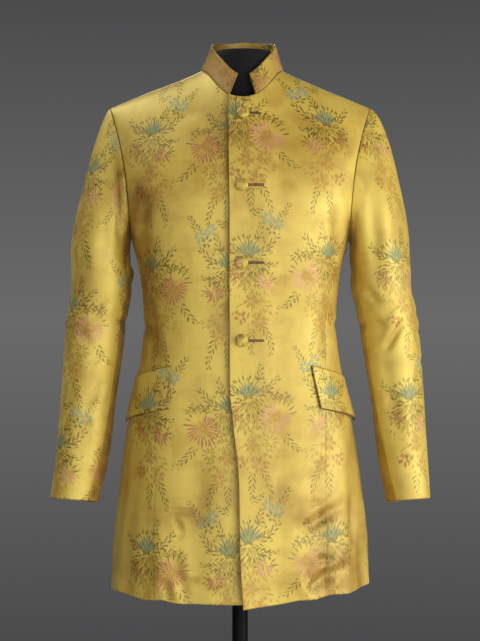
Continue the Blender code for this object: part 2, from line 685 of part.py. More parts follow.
def make_button(number, height, satin):
    """A covered button: a flat back, a rounded edge and a low dome."""
    w = height
    if height > CHEST_Z:
        rise = (height - CHEST_Z) / (float(ridge(0.0)) - CHEST_Z)
        w = CHEST_Z + ROLL_LENGTH * math.asin(rise) / (math.pi / 2)
    theta = float(theta_at_x(BUTTON_X, level_of(w)))
    edge_z = BUTTON_HEIGHT * BUTTON_EDGE
    profile = [
        (BUTTON_RADIUS * math.sin(a), edge_z + (BUTTON_HEIGHT - edge_z) * math.cos(a))
        for a in resample(0, math.pi / 2, DOME_STEPS)
    ]
    profile += [(BUTTON_BACK_RADIUS, 0.0), (0.0, 0.0)]
    button = turned(f"button_{number}", profile, satin, BUTTON_SEGMENTS)
    normal = body_normal(theta, w)
    place = body_point(theta, w) + normal * (LAP + BUTTON_GAP)
    button.rotation_mode = "QUATERNION"
    button.rotation_quaternion = Vector(normal).to_track_quat("Z", "Y")
    button.location = place
    return button


# ============================== Dress form ======================================================
def form_point(theta, w):
    """The form's surface: the body surface drawn in by its ease, with plain rounded shoulders."""
    level = level_of(w)
    ease = monotone(level, FORM_EASE)
    half = np.minimum(level_column(level, "half_width"), FORM_HALF_SHOULDER + ease) - ease
    depth = np.where(np.cos(theta) > 0, level_column(level, "front"), level_column(level, "back"))
    square = level_column(level, "square")
    x = half * np.sin(theta) * (1 + square * np.cos(theta) ** 2)
    y = -(depth - ease) * np.cos(theta) * (1 + square * np.sin(theta) ** 2) * np.cos(roll(w))
    shoulder = ridge(x) - neck_sweep(x) - FORM_RIDGE_DROP
    z = np.where(w < CHEST_Z, w, CHEST_Z + (shoulder - CHEST_Z) * np.sin(roll(w)))
    return np.stack([x + neck_shift(x, w), y, z], axis=-1)


def make_form(felt):
    """Torso and neck in one solid, with a socket for the pole."""
    around = np.radians(np.arange(0, 360, TORSO_STEP_DEG))
    lower, upper = resample(FORM_BOTTOM, CHEST_Z, TORSO_ROWS), resample(CHEST_Z, TOP, YOKE_ROWS)
    heights = np.concatenate([lower, upper[1:]])
    build = closed_loft([form_point(around, w) for w in heights])
    top_face = max(build.faces, key=lambda face: face.calc_center_median().z)
    bmesh.ops.delete(build, geom=[top_face], context="FACES_ONLY")
    bmesh.ops.remove_doubles(build, verts=build.verts, dist=MERGE)
    torso = link("form_torso", mesh_of(build), felt)

    turn = resample(0, 2 * math.pi, ROUND_SEGMENTS)[:-1]
    rings = []
    for z, half, front, back in NECK_COLUMN:
        depth = np.where(np.cos(turn) > 0, front, back)
        ring = (half * np.sin(turn) + NECK_SHIFT, -depth * np.cos(turn), np.full(turn.shape, z))
        rings.append(np.stack(ring, axis=-1))
    neck = link("neck_column", mesh_of(closed_loft(rings)), felt)
    boolean(torso, neck, "UNION")
    bore = cylinder(POLE_RADIUS + FIT, FORM_BOTTOM - SOCKET_DEPTH, FORM_BOTTOM + SOCKET_DEPTH)
    boolean(torso, link("socket", mesh_of(bore), felt), "DIFFERENCE")
    torso.data.shade_smooth()
    torso.data.set_sharp_from_angle(angle=math.radians(SHARP_DEG))


def make_stand(metal):
    """The pole, the hub that clamps it under the torso, and the turned base."""
    foot = BASE_FLOOR + FIT
    link("form_pole", mesh_of(cylinder(POLE_RADIUS, foot, FORM_BOTTOM + SOCKET_DEPTH - FIT)), metal)
    bore = POLE_RADIUS + FIT
    top, bottom = FORM_BOTTOM - FIT, FORM_BOTTOM - FIT - HUB_HEIGHT
    hub = [
        (bore, top),
        (HUB_RADIUS, top),
        (HUB_RADIUS, top - HUB_RIM * HUB_HEIGHT),
        (HUB_FOOT * HUB_RADIUS, bottom),
        (bore, bottom),
    ]
    turned("form_hub", hub, metal, ROUND_SEGMENTS, ring=True)
    base = [
        (0.0, BASE_FLOOR),
        (bore, BASE_FLOOR),
        (bore, BOSS_TOP),
        (BOSS_RADIUS - BOSS_CHAMFER, BOSS_TOP),
        (BOSS_RADIUS, BOSS_TOP - BOSS_CHAMFER),
        (BOSS_RADIUS + BOSS_FLARE[0], BASE_EDGE + FLARE_HIGH),
        (BOSS_RADIUS + BOSS_FLARE[1], BASE_EDGE + FLARE_LOW),
        (BASE_RADIUS - BASE_DISH, BASE_EDGE),
        (BASE_RADIUS - BASE_CHAMFER, BASE_EDGE - BASE_CHAMFER),
        (BASE_RADIUS, BASE_EDGE - BASE_LIP),
        (BASE_RADIUS, 0.0),
        (0.0, 0.0),
    ]
    turned("form_base", base, metal, BASE_SEGMENTS)


# ============================== Scene ===========================================================
def material(name, colour, roughness, metallic=0.0):
    made = bpy.data.materials.new(name)
    made.use_nodes = True
    shader = made.node_tree.nodes["Principled BSDF"]
    shader.inputs["Base Color"].default_value = (*colour, 1.0)
    shader.inputs["Roughness"].default_value = roughness
    shader.inputs["Metallic"].default_value = metallic
    return made


def main():
    for obj in list(bpy.data.objects):
        bpy.data.objects.remove(obj)
    collection = bpy.data.collections.new(COLLECTION)
    bpy.context.scene.collection.children.link(collection)
    satin = material("gold_satin_brocade", (0.52, 0.36, 0.09), 0.42)
    felt = material("black_jersey", (0.012, 0.012, 0.016), 0.80)
    metal = material("black_steel", (0.010, 0.010, 0.012), 0.38, 0.6)
    for side, suffix in ((1, "left"), (-1, "right")):
        make_panels(side, suffix, satin)
        make_sleeve(side, suffix, satin)
        make_flap(side, suffix, satin)
    make_collar(satin)
    for number, height in enumerate(BUTTON_HEIGHTS, start=1):
        make_button(number, height, satin)
    make_form(felt)
    make_stand(metal)
    root = bpy.data.objects.new("sherwani_stand", None)
    collection.objects.link(root)
    for obj in list(collection.objects):
        if obj is not root:
            obj.parent = root


main()
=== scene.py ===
"""Looks of a gold brocade sherwani coat on its dress form: cloth shells, brocade, form and stand."""

import math

import bpy
import numpy as np
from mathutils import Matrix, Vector


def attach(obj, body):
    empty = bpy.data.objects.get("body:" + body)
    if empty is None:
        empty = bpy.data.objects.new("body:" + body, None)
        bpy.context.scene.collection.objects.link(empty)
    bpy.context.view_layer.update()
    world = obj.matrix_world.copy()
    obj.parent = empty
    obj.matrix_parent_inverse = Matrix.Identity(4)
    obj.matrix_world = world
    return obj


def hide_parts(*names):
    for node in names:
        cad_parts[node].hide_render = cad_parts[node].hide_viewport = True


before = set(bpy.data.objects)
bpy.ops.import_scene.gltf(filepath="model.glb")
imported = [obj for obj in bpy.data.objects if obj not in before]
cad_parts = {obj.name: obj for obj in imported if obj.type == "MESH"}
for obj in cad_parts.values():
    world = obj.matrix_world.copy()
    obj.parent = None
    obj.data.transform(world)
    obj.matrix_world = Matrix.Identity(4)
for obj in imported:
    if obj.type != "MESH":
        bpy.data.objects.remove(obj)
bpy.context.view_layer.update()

MM = 0.001  # in metres

# ---- Sizes of the coat and the form, as in the CAD: cloth and seams -----------------------------
CLOTH = 0.0018  # brocade, interlining and lining worn as one wall
COLLAR_WALL = 0.0026
FLAP_WALL = 0.0020
LAP_GAP = 0.0012  # between the buttoned front and the front under it
LAP = CLOTH + LAP_GAP
FLAP_GAP = 0.0012  # between a pocket flap and the panels that it lies on

# ---- The coat's outer surface ----------------------------------------------------------------
# One outline a level: its half width, its depths in front of and behind the side line, and how
# square it is (0 is an ellipse).
LEVEL = ("height", "half_width", "front", "back", "square")
LEVELS = (
    (0.600, 0.2110, 0.1420, 0.1340, 0.10),
    (0.700, 0.2060, 0.1360, 0.1310, 0.10),
    (0.780, 0.1963, 0.1290, 0.1280, 0.10),
    (0.860, 0.1880, 0.1230, 0.1250, 0.10),
    (0.915, 0.1795, 0.1170, 0.1190, 0.11),
    (0.960, 0.1700, 0.1120, 0.1110, 0.12),
    (1.004, 0.1625, 0.1080, 0.1030, 0.12),
    (1.053, 0.1580, 0.1070, 0.0980, 0.12),
    (1.095, 0.1608, 0.1120, 0.1000, 0.13),
    (1.140, 0.1668, 0.1190, 0.1060, 0.14),
    (1.180, 0.1765, 0.1235, 0.1125, 0.15),
    (1.235, 0.1920, 0.1240, 0.1160, 0.15),
    (1.300, 0.2050, 0.1130, 0.1180, 0.15),
    (1.340, 0.2125, 0.0990, 0.1200, 0.15),
    (1.380, 0.2195, 0.0920, 0.1180, 0.15),
    (1.4055, 0.2260, 0.0900, 0.1120, 0.15),
)
CHEST_Z = 1.235  # above this the surface rolls over towards the shoulder seam
ROLL_LENGTH = 0.240  # length of cloth in that roll
SHOULDER_X, SHOULDER_Z = 0.214, 1.4055  # the shoulder point, where the seam meets the sleeve
SHOULDER_SLOPE = 0.41
RIDGE_ROUND = 0.020  # how far from the centre the two shoulders' slopes blend into each other
NECK_RISE, NECK_RISE_WIDTH = 0.042, 0.040  # the seam's sweep up beside the neck
NECK_SHIFT, NECK_SHIFT_WIDTH = 0.0060, 0.090  # the neck sits a little to the wearer's left
NECK_SHIFT_FROM, NECK_SHIFT_TO = 1.25, 1.42
TOP = CHEST_Z + ROLL_LENGTH

# ---- Cutting lines ---------------------------------------------------------------------------
NECK_HALF, NECK_FRONT, NECK_BACK = 0.0685, 0.078, 0.064  # the neckline in plan
NECK_POINT = 1.5  # how pointed the front of that plan is; 1 is an ellipse
NECK_OPENING = 0.0205  # half the space between the collar's ends
ARMPIT_Z = 1.190
ARMHOLE_CURVE = 2.2  # how late the armhole swings out to the shoulder
ARMHOLE_FRONT, ARMHOLE_BACK, SLEEVE_HIND = 137.0, 227.0, 290.0  # degrees round it, of the seams
FRONT_SEAM = ((0.60, 37.5), (0.80, 41.5), (0.90, 46), (1.00, 55), (1.05, 60), (1.15, 64))  # z, deg
BACK_SEAM_DEG, BACK_SEAM_SWING_Z = 112.0, 1.05  # it swings to the armhole above that height
OVER_EDGE = (  # height and x of the buttoned front's free edge
    (0.600, 0.0050),
    (0.690, 0.0000),
    (0.800, -0.0020),
    (0.890, -0.0110),
    (0.950, -0.0165),
    (1.300, -0.0175),
    (TOP, -NECK_OPENING),
)
UNDER_EDGE_X = 0.0185
LAP_FULL_X, LAP_END_X = 0.035, 0.070  # the buttoned front rides over the other up to here
HEM_FRONT = {1: 0.6000, -1: 0.6075}  # at the centre, wearer's left then right
HEM_SIDE = {1: 0.6240, -1: 0.6180}
HEM_BACK = 0.6120
HEM_EARLY_RISE = 0.4  # the left front's hem rises sooner than the right's by this share

# ---- Sleeves: an armhole, a cap and a bent tube ----------------------------------------------
TUBE = ("height", "x", "half_width", "y", "half_depth")
TUBES = (
    (0.7630, 0.2715, 0.0385, -0.024, 0.0480),
    (0.8447, 0.2610, 0.0436, -0.011, 0.0510),
    (0.9250, 0.2540, 0.0456, 0.001, 0.0550),
    (1.0070, 0.2460, 0.0487, 0.009, 0.0595),
    (1.0570, 0.2410, 0.0500, 0.011, 0.0625),
    (1.1160, 0.2305, 0.0500, 0.009, 0.0660),
    (1.1650, 0.2298, 0.0483, 0.004, 0.0670),
)
SLEEVE_NARROW = {1: 0.003, -1: 0.0}  # how far the inner edge of each forearm is drawn in
SLEEVE_BOW = {1: 0.004, -1: -0.004}  # how far each sleeve swings out at mid length
BOW_FULLNESS = 0.6  # below 1 the swing spreads towards both ends
CAP_START = (0.94, -0.05, -0.33)  # the way the cap leaves the armhole
CAP_PULLS = {1: (0.38, 0.85), -1: (0.22, 0.52)}  # how far it keeps to its first and last way

# ---- Collar, flaps and buttons ---------------------------------------------------------------
COLLAR_TOP_HALF, COLLAR_TOP_FRONT, COLLAR_TOP_BACK = 0.052, 0.063, 0.060
COLLAR_TIP_X = 0.0087
COLLAR_TOP_Z = ((0, 1.452), (12, 1.457), (50, 1.487), (90, 1.511), (180, 1.525))  # deg, z
FLAP_CORNER_X, FLAP_CORNER_Z = {1: 0.1130, -1: 0.1085}, 0.984
FLAP_LENGTH, FLAP_HEIGHT, FLAP_SLANT_DEG = 0.132, 0.069, 12.0
FLAP_LEAN = {1: 0.006, -1: -0.006}  # how far its lower edge swings to the rear
FLAP_STAND = {1: 0.0055, -1: 0.0020}  # how far its lower rear corner stands off the hip
FLAP_CURL, FLAP_FRONT_SHARE = 1.5, 0.3  # how late it lifts, and its front corner's share of that
BUTTON_X = 0.0028
BUTTON_HEIGHTS = (1.387, 1.2705, 1.148, 1.024)
BUTTON_RADIUS, BUTTON_BACK_RADIUS, BUTTON_HEIGHT = 0.01025, 0.0070, 0.0070
BUTTON_EDGE = 0.4  # height of its widest line, as a share of its height
BUTTON_GAP = 0.0005  # from the curved front to the button's flat back

# ---- Dress form ------------------------------------------------------------------------------
FORM_EASE = (  # height and the space between the coat's outer surface and the form
    (0.79, 0.0150),
    (0.95, 0.0110),
    (1.05, 0.0080),
    (1.20, 0.0062),
    (1.30, 0.0085),
    (1.36, 0.0120),
)
FORM_HALF_SHOULDER = 0.209
FORM_RIDGE_DROP = 0.0031  # below the coat's shoulder seam: the cloth and a hair's breadth
FORM_BOTTOM = 0.790
NECK_COLUMN = (  # height, half width, front and back depth of the form's neck
    (1.3600, 0.0600, 0.0600, 0.0520),
    (1.4300, 0.0590, 0.0600, 0.0520),
    (1.4600, 0.0545, 0.0560, 0.0510),
    (1.4850, 0.0515, 0.0520, 0.0490),
    (1.4950, 0.0505, 0.0510, 0.0480),
    (1.4980, 0.0480, 0.0485, 0.0455),
)

# ---- How finely the cloth is meshed, and how its edges are finished ----------------------------
STEP = 0.0042  # between grid lines
EDGE_STEPS = (0.0, 0.0002, 0.0006, 0.0012, 0.0024, 0.0042)  # closer lines beside an edge
SEAM_DIP, SEAM_DIP_WIDTH = 0.0004, 0.0016  # a seam's groove
SEAM_RIDGE, SEAM_RIDGE_AT = 0.00008, 0.0060  # seam allowances pressed under the cloth
SEAM_GAP = 0.00008  # between a sleeve or the collar and the edge it is sewn to
TURNED_EXTRA, TURNED_WIDTH = 0.0005, 0.010  # a folded edge is a little thicker
V_SPLIT = 14 / 22  # where the side seam meets the armhole, as a share of the panel's rows
NECK_SHARE = 7 / 11  # the neckline's share of a front's top edge
BACK_SHOULDER_SHARE = 4 / 10  # the shoulder seam's share of a back's top edge
CENTRE_ROW_DROP = 0.06  # at V_SPLIT the centre is that far below midway from chest to neck
NECK_STOPS = (0, 1 / 7, 2 / 7, 1)  # along it: the front's edge, the centre, the opening, the shoulder
NEWTON_STEPS, HALVINGS = 8, 40  # enough to settle each search below a micrometre
NEAR = 1e-3  # from a height to the two beside it that give a sleeve's direction
FULL_TURN = 2 * math.pi - 1e-6  # the armhole's loop stops just short of where it began


# ============================== Materials =======================================================
class Term:
    """A value that a material works out at each spot: the output of a node."""

    def __init__(self, socket):
        self.socket, self.tree = socket, socket.id_data

    def make(self, operation, *others, clamp=False):
        node = self.tree.nodes.new("ShaderNodeMath")
        node.operation, node.use_clamp = operation, clamp
        for slot, term in zip(node.inputs, (self, *others)):
            plug(slot, term)
        return Term(node.outputs[0])

    def __add__(self, other):
        return self.make("ADD", other)

    def __sub__(self, other):
        return self.make("SUBTRACT", other)

    def __mul__(self, other):
        return self.make("MULTIPLY", other)

    def __truediv__(self, other):
        return self.make("DIVIDE", other)

    def scaled(self, factor, addend, clamp=False):
        return self.make("MULTIPLY_ADD", factor, addend, clamp=clamp)


def plug(slot, value):
    """Sets a socket to a number or colour, or links it to a term."""
    if isinstance(value, Term):
        value.tree.links.new(value.socket, slot)
    else:
        slot.default_value = value


def new_material(name):
    made = bpy.data.materials.new(name)
    made.use_nodes = True
    return made, made.node_tree, made.node_tree.nodes["Principled BSDF"].inputs


def add_node(tree, kind, output=0, **settings):
    """One output of a new node, whose properties and inputs are set by name."""
    node = tree.nodes.new("ShaderNode" + kind)
    for key, value in settings.items():
        if key in node.inputs:
            plug(node.inputs[key], value)
        else:
            setattr(node, key, value)
    return Term(node.outputs[output])


def components(vector):
    """The X, Y and Z of a vector."""
    node = vector.tree.nodes.new("ShaderNodeSeparateXYZ")
    plug(node.inputs[0], vector)
    return [Term(output) for output in node.outputs]


def noise(vector, scale, detail=2.0, roughness=0.5, stretch=None):
    """Fractal noise about 0.5 over a vector, which may be stretched unevenly first."""
    if stretch:
        node = vector.tree.nodes.new("ShaderNodeVectorMath")
        node.operation = "MULTIPLY"
        plug(node.inputs[0], vector)
        plug(node.inputs[1], stretch)
        vector = Term(node.outputs[0])
    settings = {"Scale": scale, "Detail": detail, "Roughness": roughness, "Vector": vector}
    return add_node(vector.tree, "TexNoise", "Fac", **settings)


def blend(share, first, second, how="MIX"):
    """A colour between two, by a share."""
    node = share.tree.nodes.new("ShaderNodeMix")
    node.data_type, node.blend_type = "RGBA", how
    colours = [slot for slot in node.inputs if slot.type == "RGBA"]
    for slot, term in zip((node.inputs["Factor"], *colours), (share, first, second)):
        plug(slot, term)
    return Term(next(output for output in node.outputs if output.type == "RGBA"))


def bump(shader, height, distance, strength=1.0):
    settings = {"Height": height, "Distance": distance, "Strength": strength}
    plug(shader["Normal"], add_node(height.tree, "Bump", "Normal", **settings))


def srgb(red, green, blue):
    """A colour given as 0 to 255 on screen, as the shader wants it."""
    levels = [c / 255 for c in (red, green, blue)]
    return (*(c / 12.92 if c <= 0.04045 else ((c + 0.055) / 1.055) ** 2.4 for c in levels), 1.0)


# ---- The brocade's pattern: flower sprays in columns, in millimetres ----------------------------
# Columns stand COLUMN apart and every other one is mirrored. Sprays stand ROW apart; two kinds, A
# and B, take turns along each column and from column to column.
COLUMN, ROW = 138.0, 227.5
FIRST_X, FIRST_Y = 14.3, 721.0
BELOW_Y = 106.5  # the blossoms and hanging sprigs of a spray are placed about this far below it
# Each flower: its spray; x, y; inner and outer radius; petals and a petal's half width; turn; where
# a fan opens and its spread to each side, in degrees; the petals' tip; its thread.
FLOWERS = (
    ("shared", 0, -16, 4, 28, 14, 2.9, 0.0, 90, 66, "point", "teal"),
    ("shared", 0, -16, 7, 33, 14, 1.2, 0.5, 90, 62, "point", "deep_teal"),
    ("shared", 0, -14, 22, 44, 26, 0.6, 0.5, 90, 64, "point", "gold_leaf"),
    ("shared", 0, -17, 0.5, 12, 9, 2.0, 0.2, 90, 120, "point", "olive"),
    ("shared", -20, -40, 3, 15, 11, 1.9, 0.1, 200, 140, "round", "rust"),
    ("A", 44, -44, 9, 31, 25, 1.8, 0.0, 238, 148, "round", "rose"),
    ("A", 44, -44, 1, 14, 15, 1.3, 0.3, None, None, "point", "brown"),
    ("A", 44, -44, 22, 35, 21, 1.2, 0.3, 52, 50, "point", "olive"),
    ("A", 33, -84, 2, 13, 9, 1.9, 0.2, None, None, "round", "gold_leaf"),
    ("B", 25, -54, 3, 18, 13, 2.0, 0.0, 250, 140, "round", "rose"),
    ("B", 25, -54, 10, 22, 13, 1.1, 0.5, 62, 70, "point", "olive"),
    ("B", 30, 46, 1.5, 11, 6, 2.9, 0.1, None, None, "round", "blue"),
    ("B", 47, 37, 1.5, 11, 6, 2.9, 0.4, None, None, "round", "blue"),
    ("B", 35, 28, 1.5, 9, 5, 2.4, 0.7, None, None, "round", "deep_teal"),
    ("below", 3, 18, 2, 13, 6, 3.2, 0.0, None, None, "round", "brown"),
    ("below", 18, -14, 2, 14, 7, 3.2, 0.3, None, None, "round", "brown"),
    ("below", -14, -6, 1.5, 10, 5, 2.6, 0.3, None, None, "round", "rust"),
)
# Each sprig: its spray; x, y; direction in degrees; length; leaf length and spacing; bend; its thread.
SPRIGS = (
    ("shared", 14, -14, 34, 48, 10.0, 9.5, 0.004, "olive"),
    ("shared", -14, -14, 148, 42, 10.0, 9.0, -0.006, "olive"),
    ("shared", 12, 12, 60, 28, 8.0, 8.0, 0.008, "olive"),
    ("shared", 3, -22, -66, 68, 10.5, 9.5, -0.007, "gold_leaf"),
    ("shared", -4, -24, -102, 64, 10.5, 9.5, 0.006, "gold_leaf"),
    ("shared", -10, -22, -154, 36, 9.0, 8.5, 0.012, "olive"),
    ("A", 34, -12, 12, 36, 9.0, 8.5, -0.010, "olive"),
    ("A", 58, -72, -64, 38, 9.5, 9.0, 0.008, "olive"),
    ("B", 2, 52, 12, 22, 8.0, 7.5, 0.012, "olive"),
    ("B", 52, 46, 72, 28, 8.5, 8.0, -0.008, "olive"),
    ("B", 10, -30, -10, 36, 9.0, 8.5, 0.006, "olive"),
    ("below", 6, -26, -104, 40, 9.0, 8.5, 0.006, "olive"),
    ("below", 22, -24, -56, 44, 9.0, 8.5, -0.007, "olive"),
)
# Each scatter of leaves: its spray; x, y; inner and outer radius; where it opens and its spread to
# each side, in degrees; how far apart the leaves are, and how long; how full it is; its thread.
LEAVES = (
    ("shared", 0, -14, 10, 84, -88, 46, 4.6, 15.0, 0.36, "gold_leaf"),
    ("shared", 0, -8, 14, 60, -90, 66, 6.0, 15.0, 0.27, "olive"),
    ("shared", 0, -18, 20, 50, 90, 80, 6.0, 15.0, 0.23, "olive"),
    ("A", 44, -44, 28, 50, 110, 64, 5.6, 13.0, 0.28, "gold_leaf"),
    ("below", 4, 30, 14, 66, -84, 60, 5.6, 14.0, 0.28, "gold_leaf"),
)
THREADS = {
    "gold_leaf": srgb(162, 130, 48),
    "olive": srgb(106, 86, 28),
    "brown": srgb(182, 130, 54),
    "rust": srgb(166, 90, 46),
    "teal": srgb(116, 134, 104),
    "deep_teal": srgb(84, 92, 54),
    "rose": srgb(176, 94, 70),
    "blue": srgb(138, 154, 128),
}  # in the order in which they are laid
# paler rose, in random patches and as painted sheen towards one side
PALE_ROSE = srgb(226, 168, 134)
SATIN, PALE_SATIN = srgb(208, 178, 76), srgb(222, 193, 88)
WARP, TARNISH = srgb(184, 140, 54), srgb(172, 130, 50)
FULL_SHADE = (0.52, 0.37, 0.24, 1.0)  # painted shade: what cloth under full painted shade keeps of its red, green and blue
RIM_SHADE = (0.20, 0.14, 0.10, 1.0)  # the same for the painted shade where cloth turns in at an edge or a seam
# how strongly the warp grain, the tarnish and the painted shade by edges and seams show
WARP_SHARE, TARNISH_SHARE, RIM_SHARE = 0.22, 0.52, 0.90
# Noises over the cloth: scale, detail and roughness, or a stretch, and where each starts and is full.
PATCHES, PATCHES_RAMP = 7.0, (0.25, 0.75)
WARP_GRAIN, WEFT_GRAIN, GRAIN_RAMP = (900.0, 6.0, 1.0), (9.0, 700.0, 1.0), (0.6, 1.4)
TARNISHED, TARNISHED_RAMP = (15.0, 4.0, 0.62), (0.44, 0.66)
BROKEN_THREADS, BROKEN_RAMP = (520.0, 150.0, 1.0), (0.12, 0.58)
WEAR, WEAR_RAMP = (60.0, 3.0), (-0.1, 0.5)
# rose floats grow paler towards the cloth's +x side: painted sheen on the side the key light comes from
SHEEN_TO_ONE_SIDE, PALE_RAMP = 1.8, (0.34, 0.84)
# noise that breaks up the painted shade, and the levels it keeps between
SHADE_MOTTLE, SHADE_MOTTLE_RAMP, SHADE_MOTTLE_LEVELS = (34.0, 3.0), (0.15, 0.80), (0.80, 0.50)
SLACK = (20.0, 13.0, 1.0)
SATIN_SHINE = {
    "Anisotropic": 0.35,
    "IOR": 1.8,
    "Specular IOR Level": 0.75,
    "Specular Tint": (1.0, 0.93, 0.38, 1.0),
    "Sheen Weight": 0.10,
    "Sheen Roughness": 0.35,
    "Sheen Tint": (1.0, 0.92, 0.55, 1.0),
}
FLOAT_ROUGHNESS, FLOAT_METALLIC = (0.08, 0.50), (-0.04, 0.06)  # added by a float, and the ground's own
FLOAT_HEIGHT, GRAIN_HEIGHT, SLACK_HEIGHT, BUMP_STRENGTH = 0.14, 0.035, 1.5, 0.7  # heights in millimetres

EDGE, FAN_EDGE, LEAF_EDGE = 0.55, 0.12, 0.14  # softness of an outline, a fan's sides and a loose leaf
WANDER, WANDER_SCALE = 12.0, 24.0  # how far the pattern strays, in millimetres, and how quickly
TIP_FROM, TIP_RANGE, FAN_DROOP = 0.80, 0.32, 0.16  # a petal's length, and a fan's outer petals'
ROUND_PETAL, ROUND_TRIM, POINTED_PETAL = 2.6, 0.55, 4.0  # they bring a petal to its half width
LEAF_STAGGER, LEAF_SLANT, LEAF_FROM, STEM_HALF = 0.25, 1.30, 0.6, 0.28
LEAF_WIDTH = 0.27  # half width of a leaf along its stem, as a share of the spacing
LEAF_LEAST, LEAF_RANGE, LEAF_DISORDER = 0.60, 0.50, 0.85
OUTER_SEED, HAND_SEED = 7, 0.37  # they set one motif's chances apart from another's


def chance(index, seed):
    """A number from 0 to 1 that differs from one whole index to the next."""
    return add_node(index.tree, "TexWhiteNoise", "Value", noise_dimensions="1D", W=index + seed)


def ramp(term, low, high):
    """0 at one value of a term and 1 at another, with a soft start and end."""
    ends = {"From Min": low, "From Max": high}
    return add_node(
        term.tree, "MapRange", "Result", interpolation_type="SMOOTHSTEP", clamp=False, Value=term, **ends
    )


def inside(gap, soft=EDGE):
    """1 where a gap is positive and 0 where it is negative, over a soft edge."""
    return ramp(gap, -soft / 2, soft / 2)


def turn_about(index):
    """1 for an even whole index and -1 for an odd one."""
    return (index * 0.5).make("FRACT").scaled(-4, 1)


def spray_places(across, up):
    """Coordinates about the nearest spray of each kind, in millimetres."""
    row = up.scaled(1 / ROW, 0.5 - FIRST_Y / ROW).make("FLOOR")
    height = up - row.scaled(ROW, FIRST_Y)
    swap = turn_about(row)
    place = (across - (FIRST_X + COLUMN / 2)).make("WRAP", COLUMN, -COLUMN) * swap
    column = across.scaled(1 / COLUMN, 0.5 - FIRST_X / COLUMN).make("FLOOR")
    mirror = turn_about(column)
    shared = (across - column.scaled(COLUMN, FIRST_X)) * mirror
    below = (up - (FIRST_Y - BELOW_Y)).make("WRAP", ROW / 2, -ROW / 2)
    return {
        "shared": (shared, height),
        "below": (shared, below),
        "A": (place.scaled(-1, COLUMN / 2), height),
        "B": (place.scaled(1, COLUMN / 2), height),
    }


def polar(places, row):
    """Distance from a motif's middle, and direction."""
    across, up = (place - at for place, at in zip(places[row[0]], row[1:3]))
    return (across * across + up * up).make("SQRT"), up.make("ARCTAN2", across)


def flower(places, row):
    """Separate petals in a ring, or in a fan that opens one way and is longest there."""
    inner, outer, petals, half_width, turn, opens, spread, tip, _ = row[3:]
    radius, angle = polar(places, row)
    index = angle.scaled(petals / (2 * math.pi), turn)
    aside = index.make("PINGPONG", 0.5) * (2 * math.pi / petals)
    longer = chance(index.make("ROUND"), inner + OUTER_SEED * outer).scaled(TIP_RANGE, TIP_FROM)
    reach = radius.scaled(1 / (outer - inner), -inner / (outer - inner)) / longer
    if opens is not None:
        towards = (angle - math.radians(opens)).make("COSINE")
        reach = reach - towards.scaled(FAN_DROOP, -FAN_DROOP)
    rest = reach.scaled(-1, 1)
    if tip == "round":
        rest = rest.make("MAXIMUM", 0.0)
        lens = (reach * rest.make("SQRT")).scaled(ROUND_PETAL * half_width, -ROUND_TRIM * EDGE)
    else:
        lens = reach * rest * (POINTED_PETAL * half_width)
    mask = inside(lens - aside * radius)
    if opens is None:
        return mask
    return mask * inside(towards - math.cos(math.radians(spread)), FAN_EDGE)


def sprig(places, row):
    """A bent stem with slanting leaves, left and right in turn, shorter towards its tip."""
    spray, x, y, direction, length, leaf, spacing, bend, _ = row
    across, up = (place - at for place, at in zip(places[spray], (x, y)))
    cosine, sine = math.cos(math.radians(direction)), math.sin(math.radians(direction))
    along = across * cosine + up * sine
    aside = up * cosine - across * sine - along * along * bend
    away, hand = aside.make("ABSOLUTE"), aside.make("SIGN")
    index = (along - away * LEAF_SLANT + hand * (spacing * LEAF_STAGGER)).scaled(1 / spacing, 0.0)
    longer = chance(index.make("ROUND") + hand * HAND_SEED, x + direction).scaled(LEAF_RANGE, LEAF_LEAST)
    reach = (away - LEAF_FROM) / (along.scaled(-leaf / length * 0.5, leaf) * longer)
    width = reach * reach.scaled(-1, 1) * (4 * LEAF_WIDTH * spacing)
    leaves = inside(width - index.make("PINGPONG", 0.5) * spacing)
    stem = inside(away.scaled(-1, STEM_HALF))
    kept = inside(along) * inside(along.scaled(-1, length))
    return leaves.make("MAXIMUM", stem) * kept


def strewn(places, row):
    """Small loose leaves in a fan about a point, each pointing away from it, fewer further out."""
    inner, outer, opens, spread, apart, length, share, _ = row[3:]
    radius, angle = polar(places, row)
    tree, middle = radius.tree, (inner + outer) / 2
    round_it = (angle - math.radians(opens)).make("WRAP", math.pi, -math.pi)
    place = add_node(tree, "CombineXYZ", X=round_it * (middle / apart), Y=radius * (1 / length))
    cells = {"voronoi_dimensions": "2D", "Scale": 1.0, "Randomness": LEAF_DISORDER, "Vector": place}
    distance = add_node(tree, "TexVoronoi", "Distance", **cells)
    fade = ramp(radius, outer, middle)
    mask = inside(fade * share - distance, LEAF_EDGE)
    wide = inside(round_it.make("COSINE") - math.cos(math.radians(spread)), FAN_EDGE)
    return mask * wide * inside(radius - inner)


def lay_threads(places):
    """Where each colour of thread shows, as one mask for each."""
    masks = {}
    for rows, motif in ((FLOWERS, flower), (SPRIGS, sprig), (LEAVES, strewn)):
        for row in rows:
            mask, thread = motif(places, row), row[-1]
            masks[thread] = masks[thread].make("MAXIMUM", mask) if thread in masks else mask
    return masks


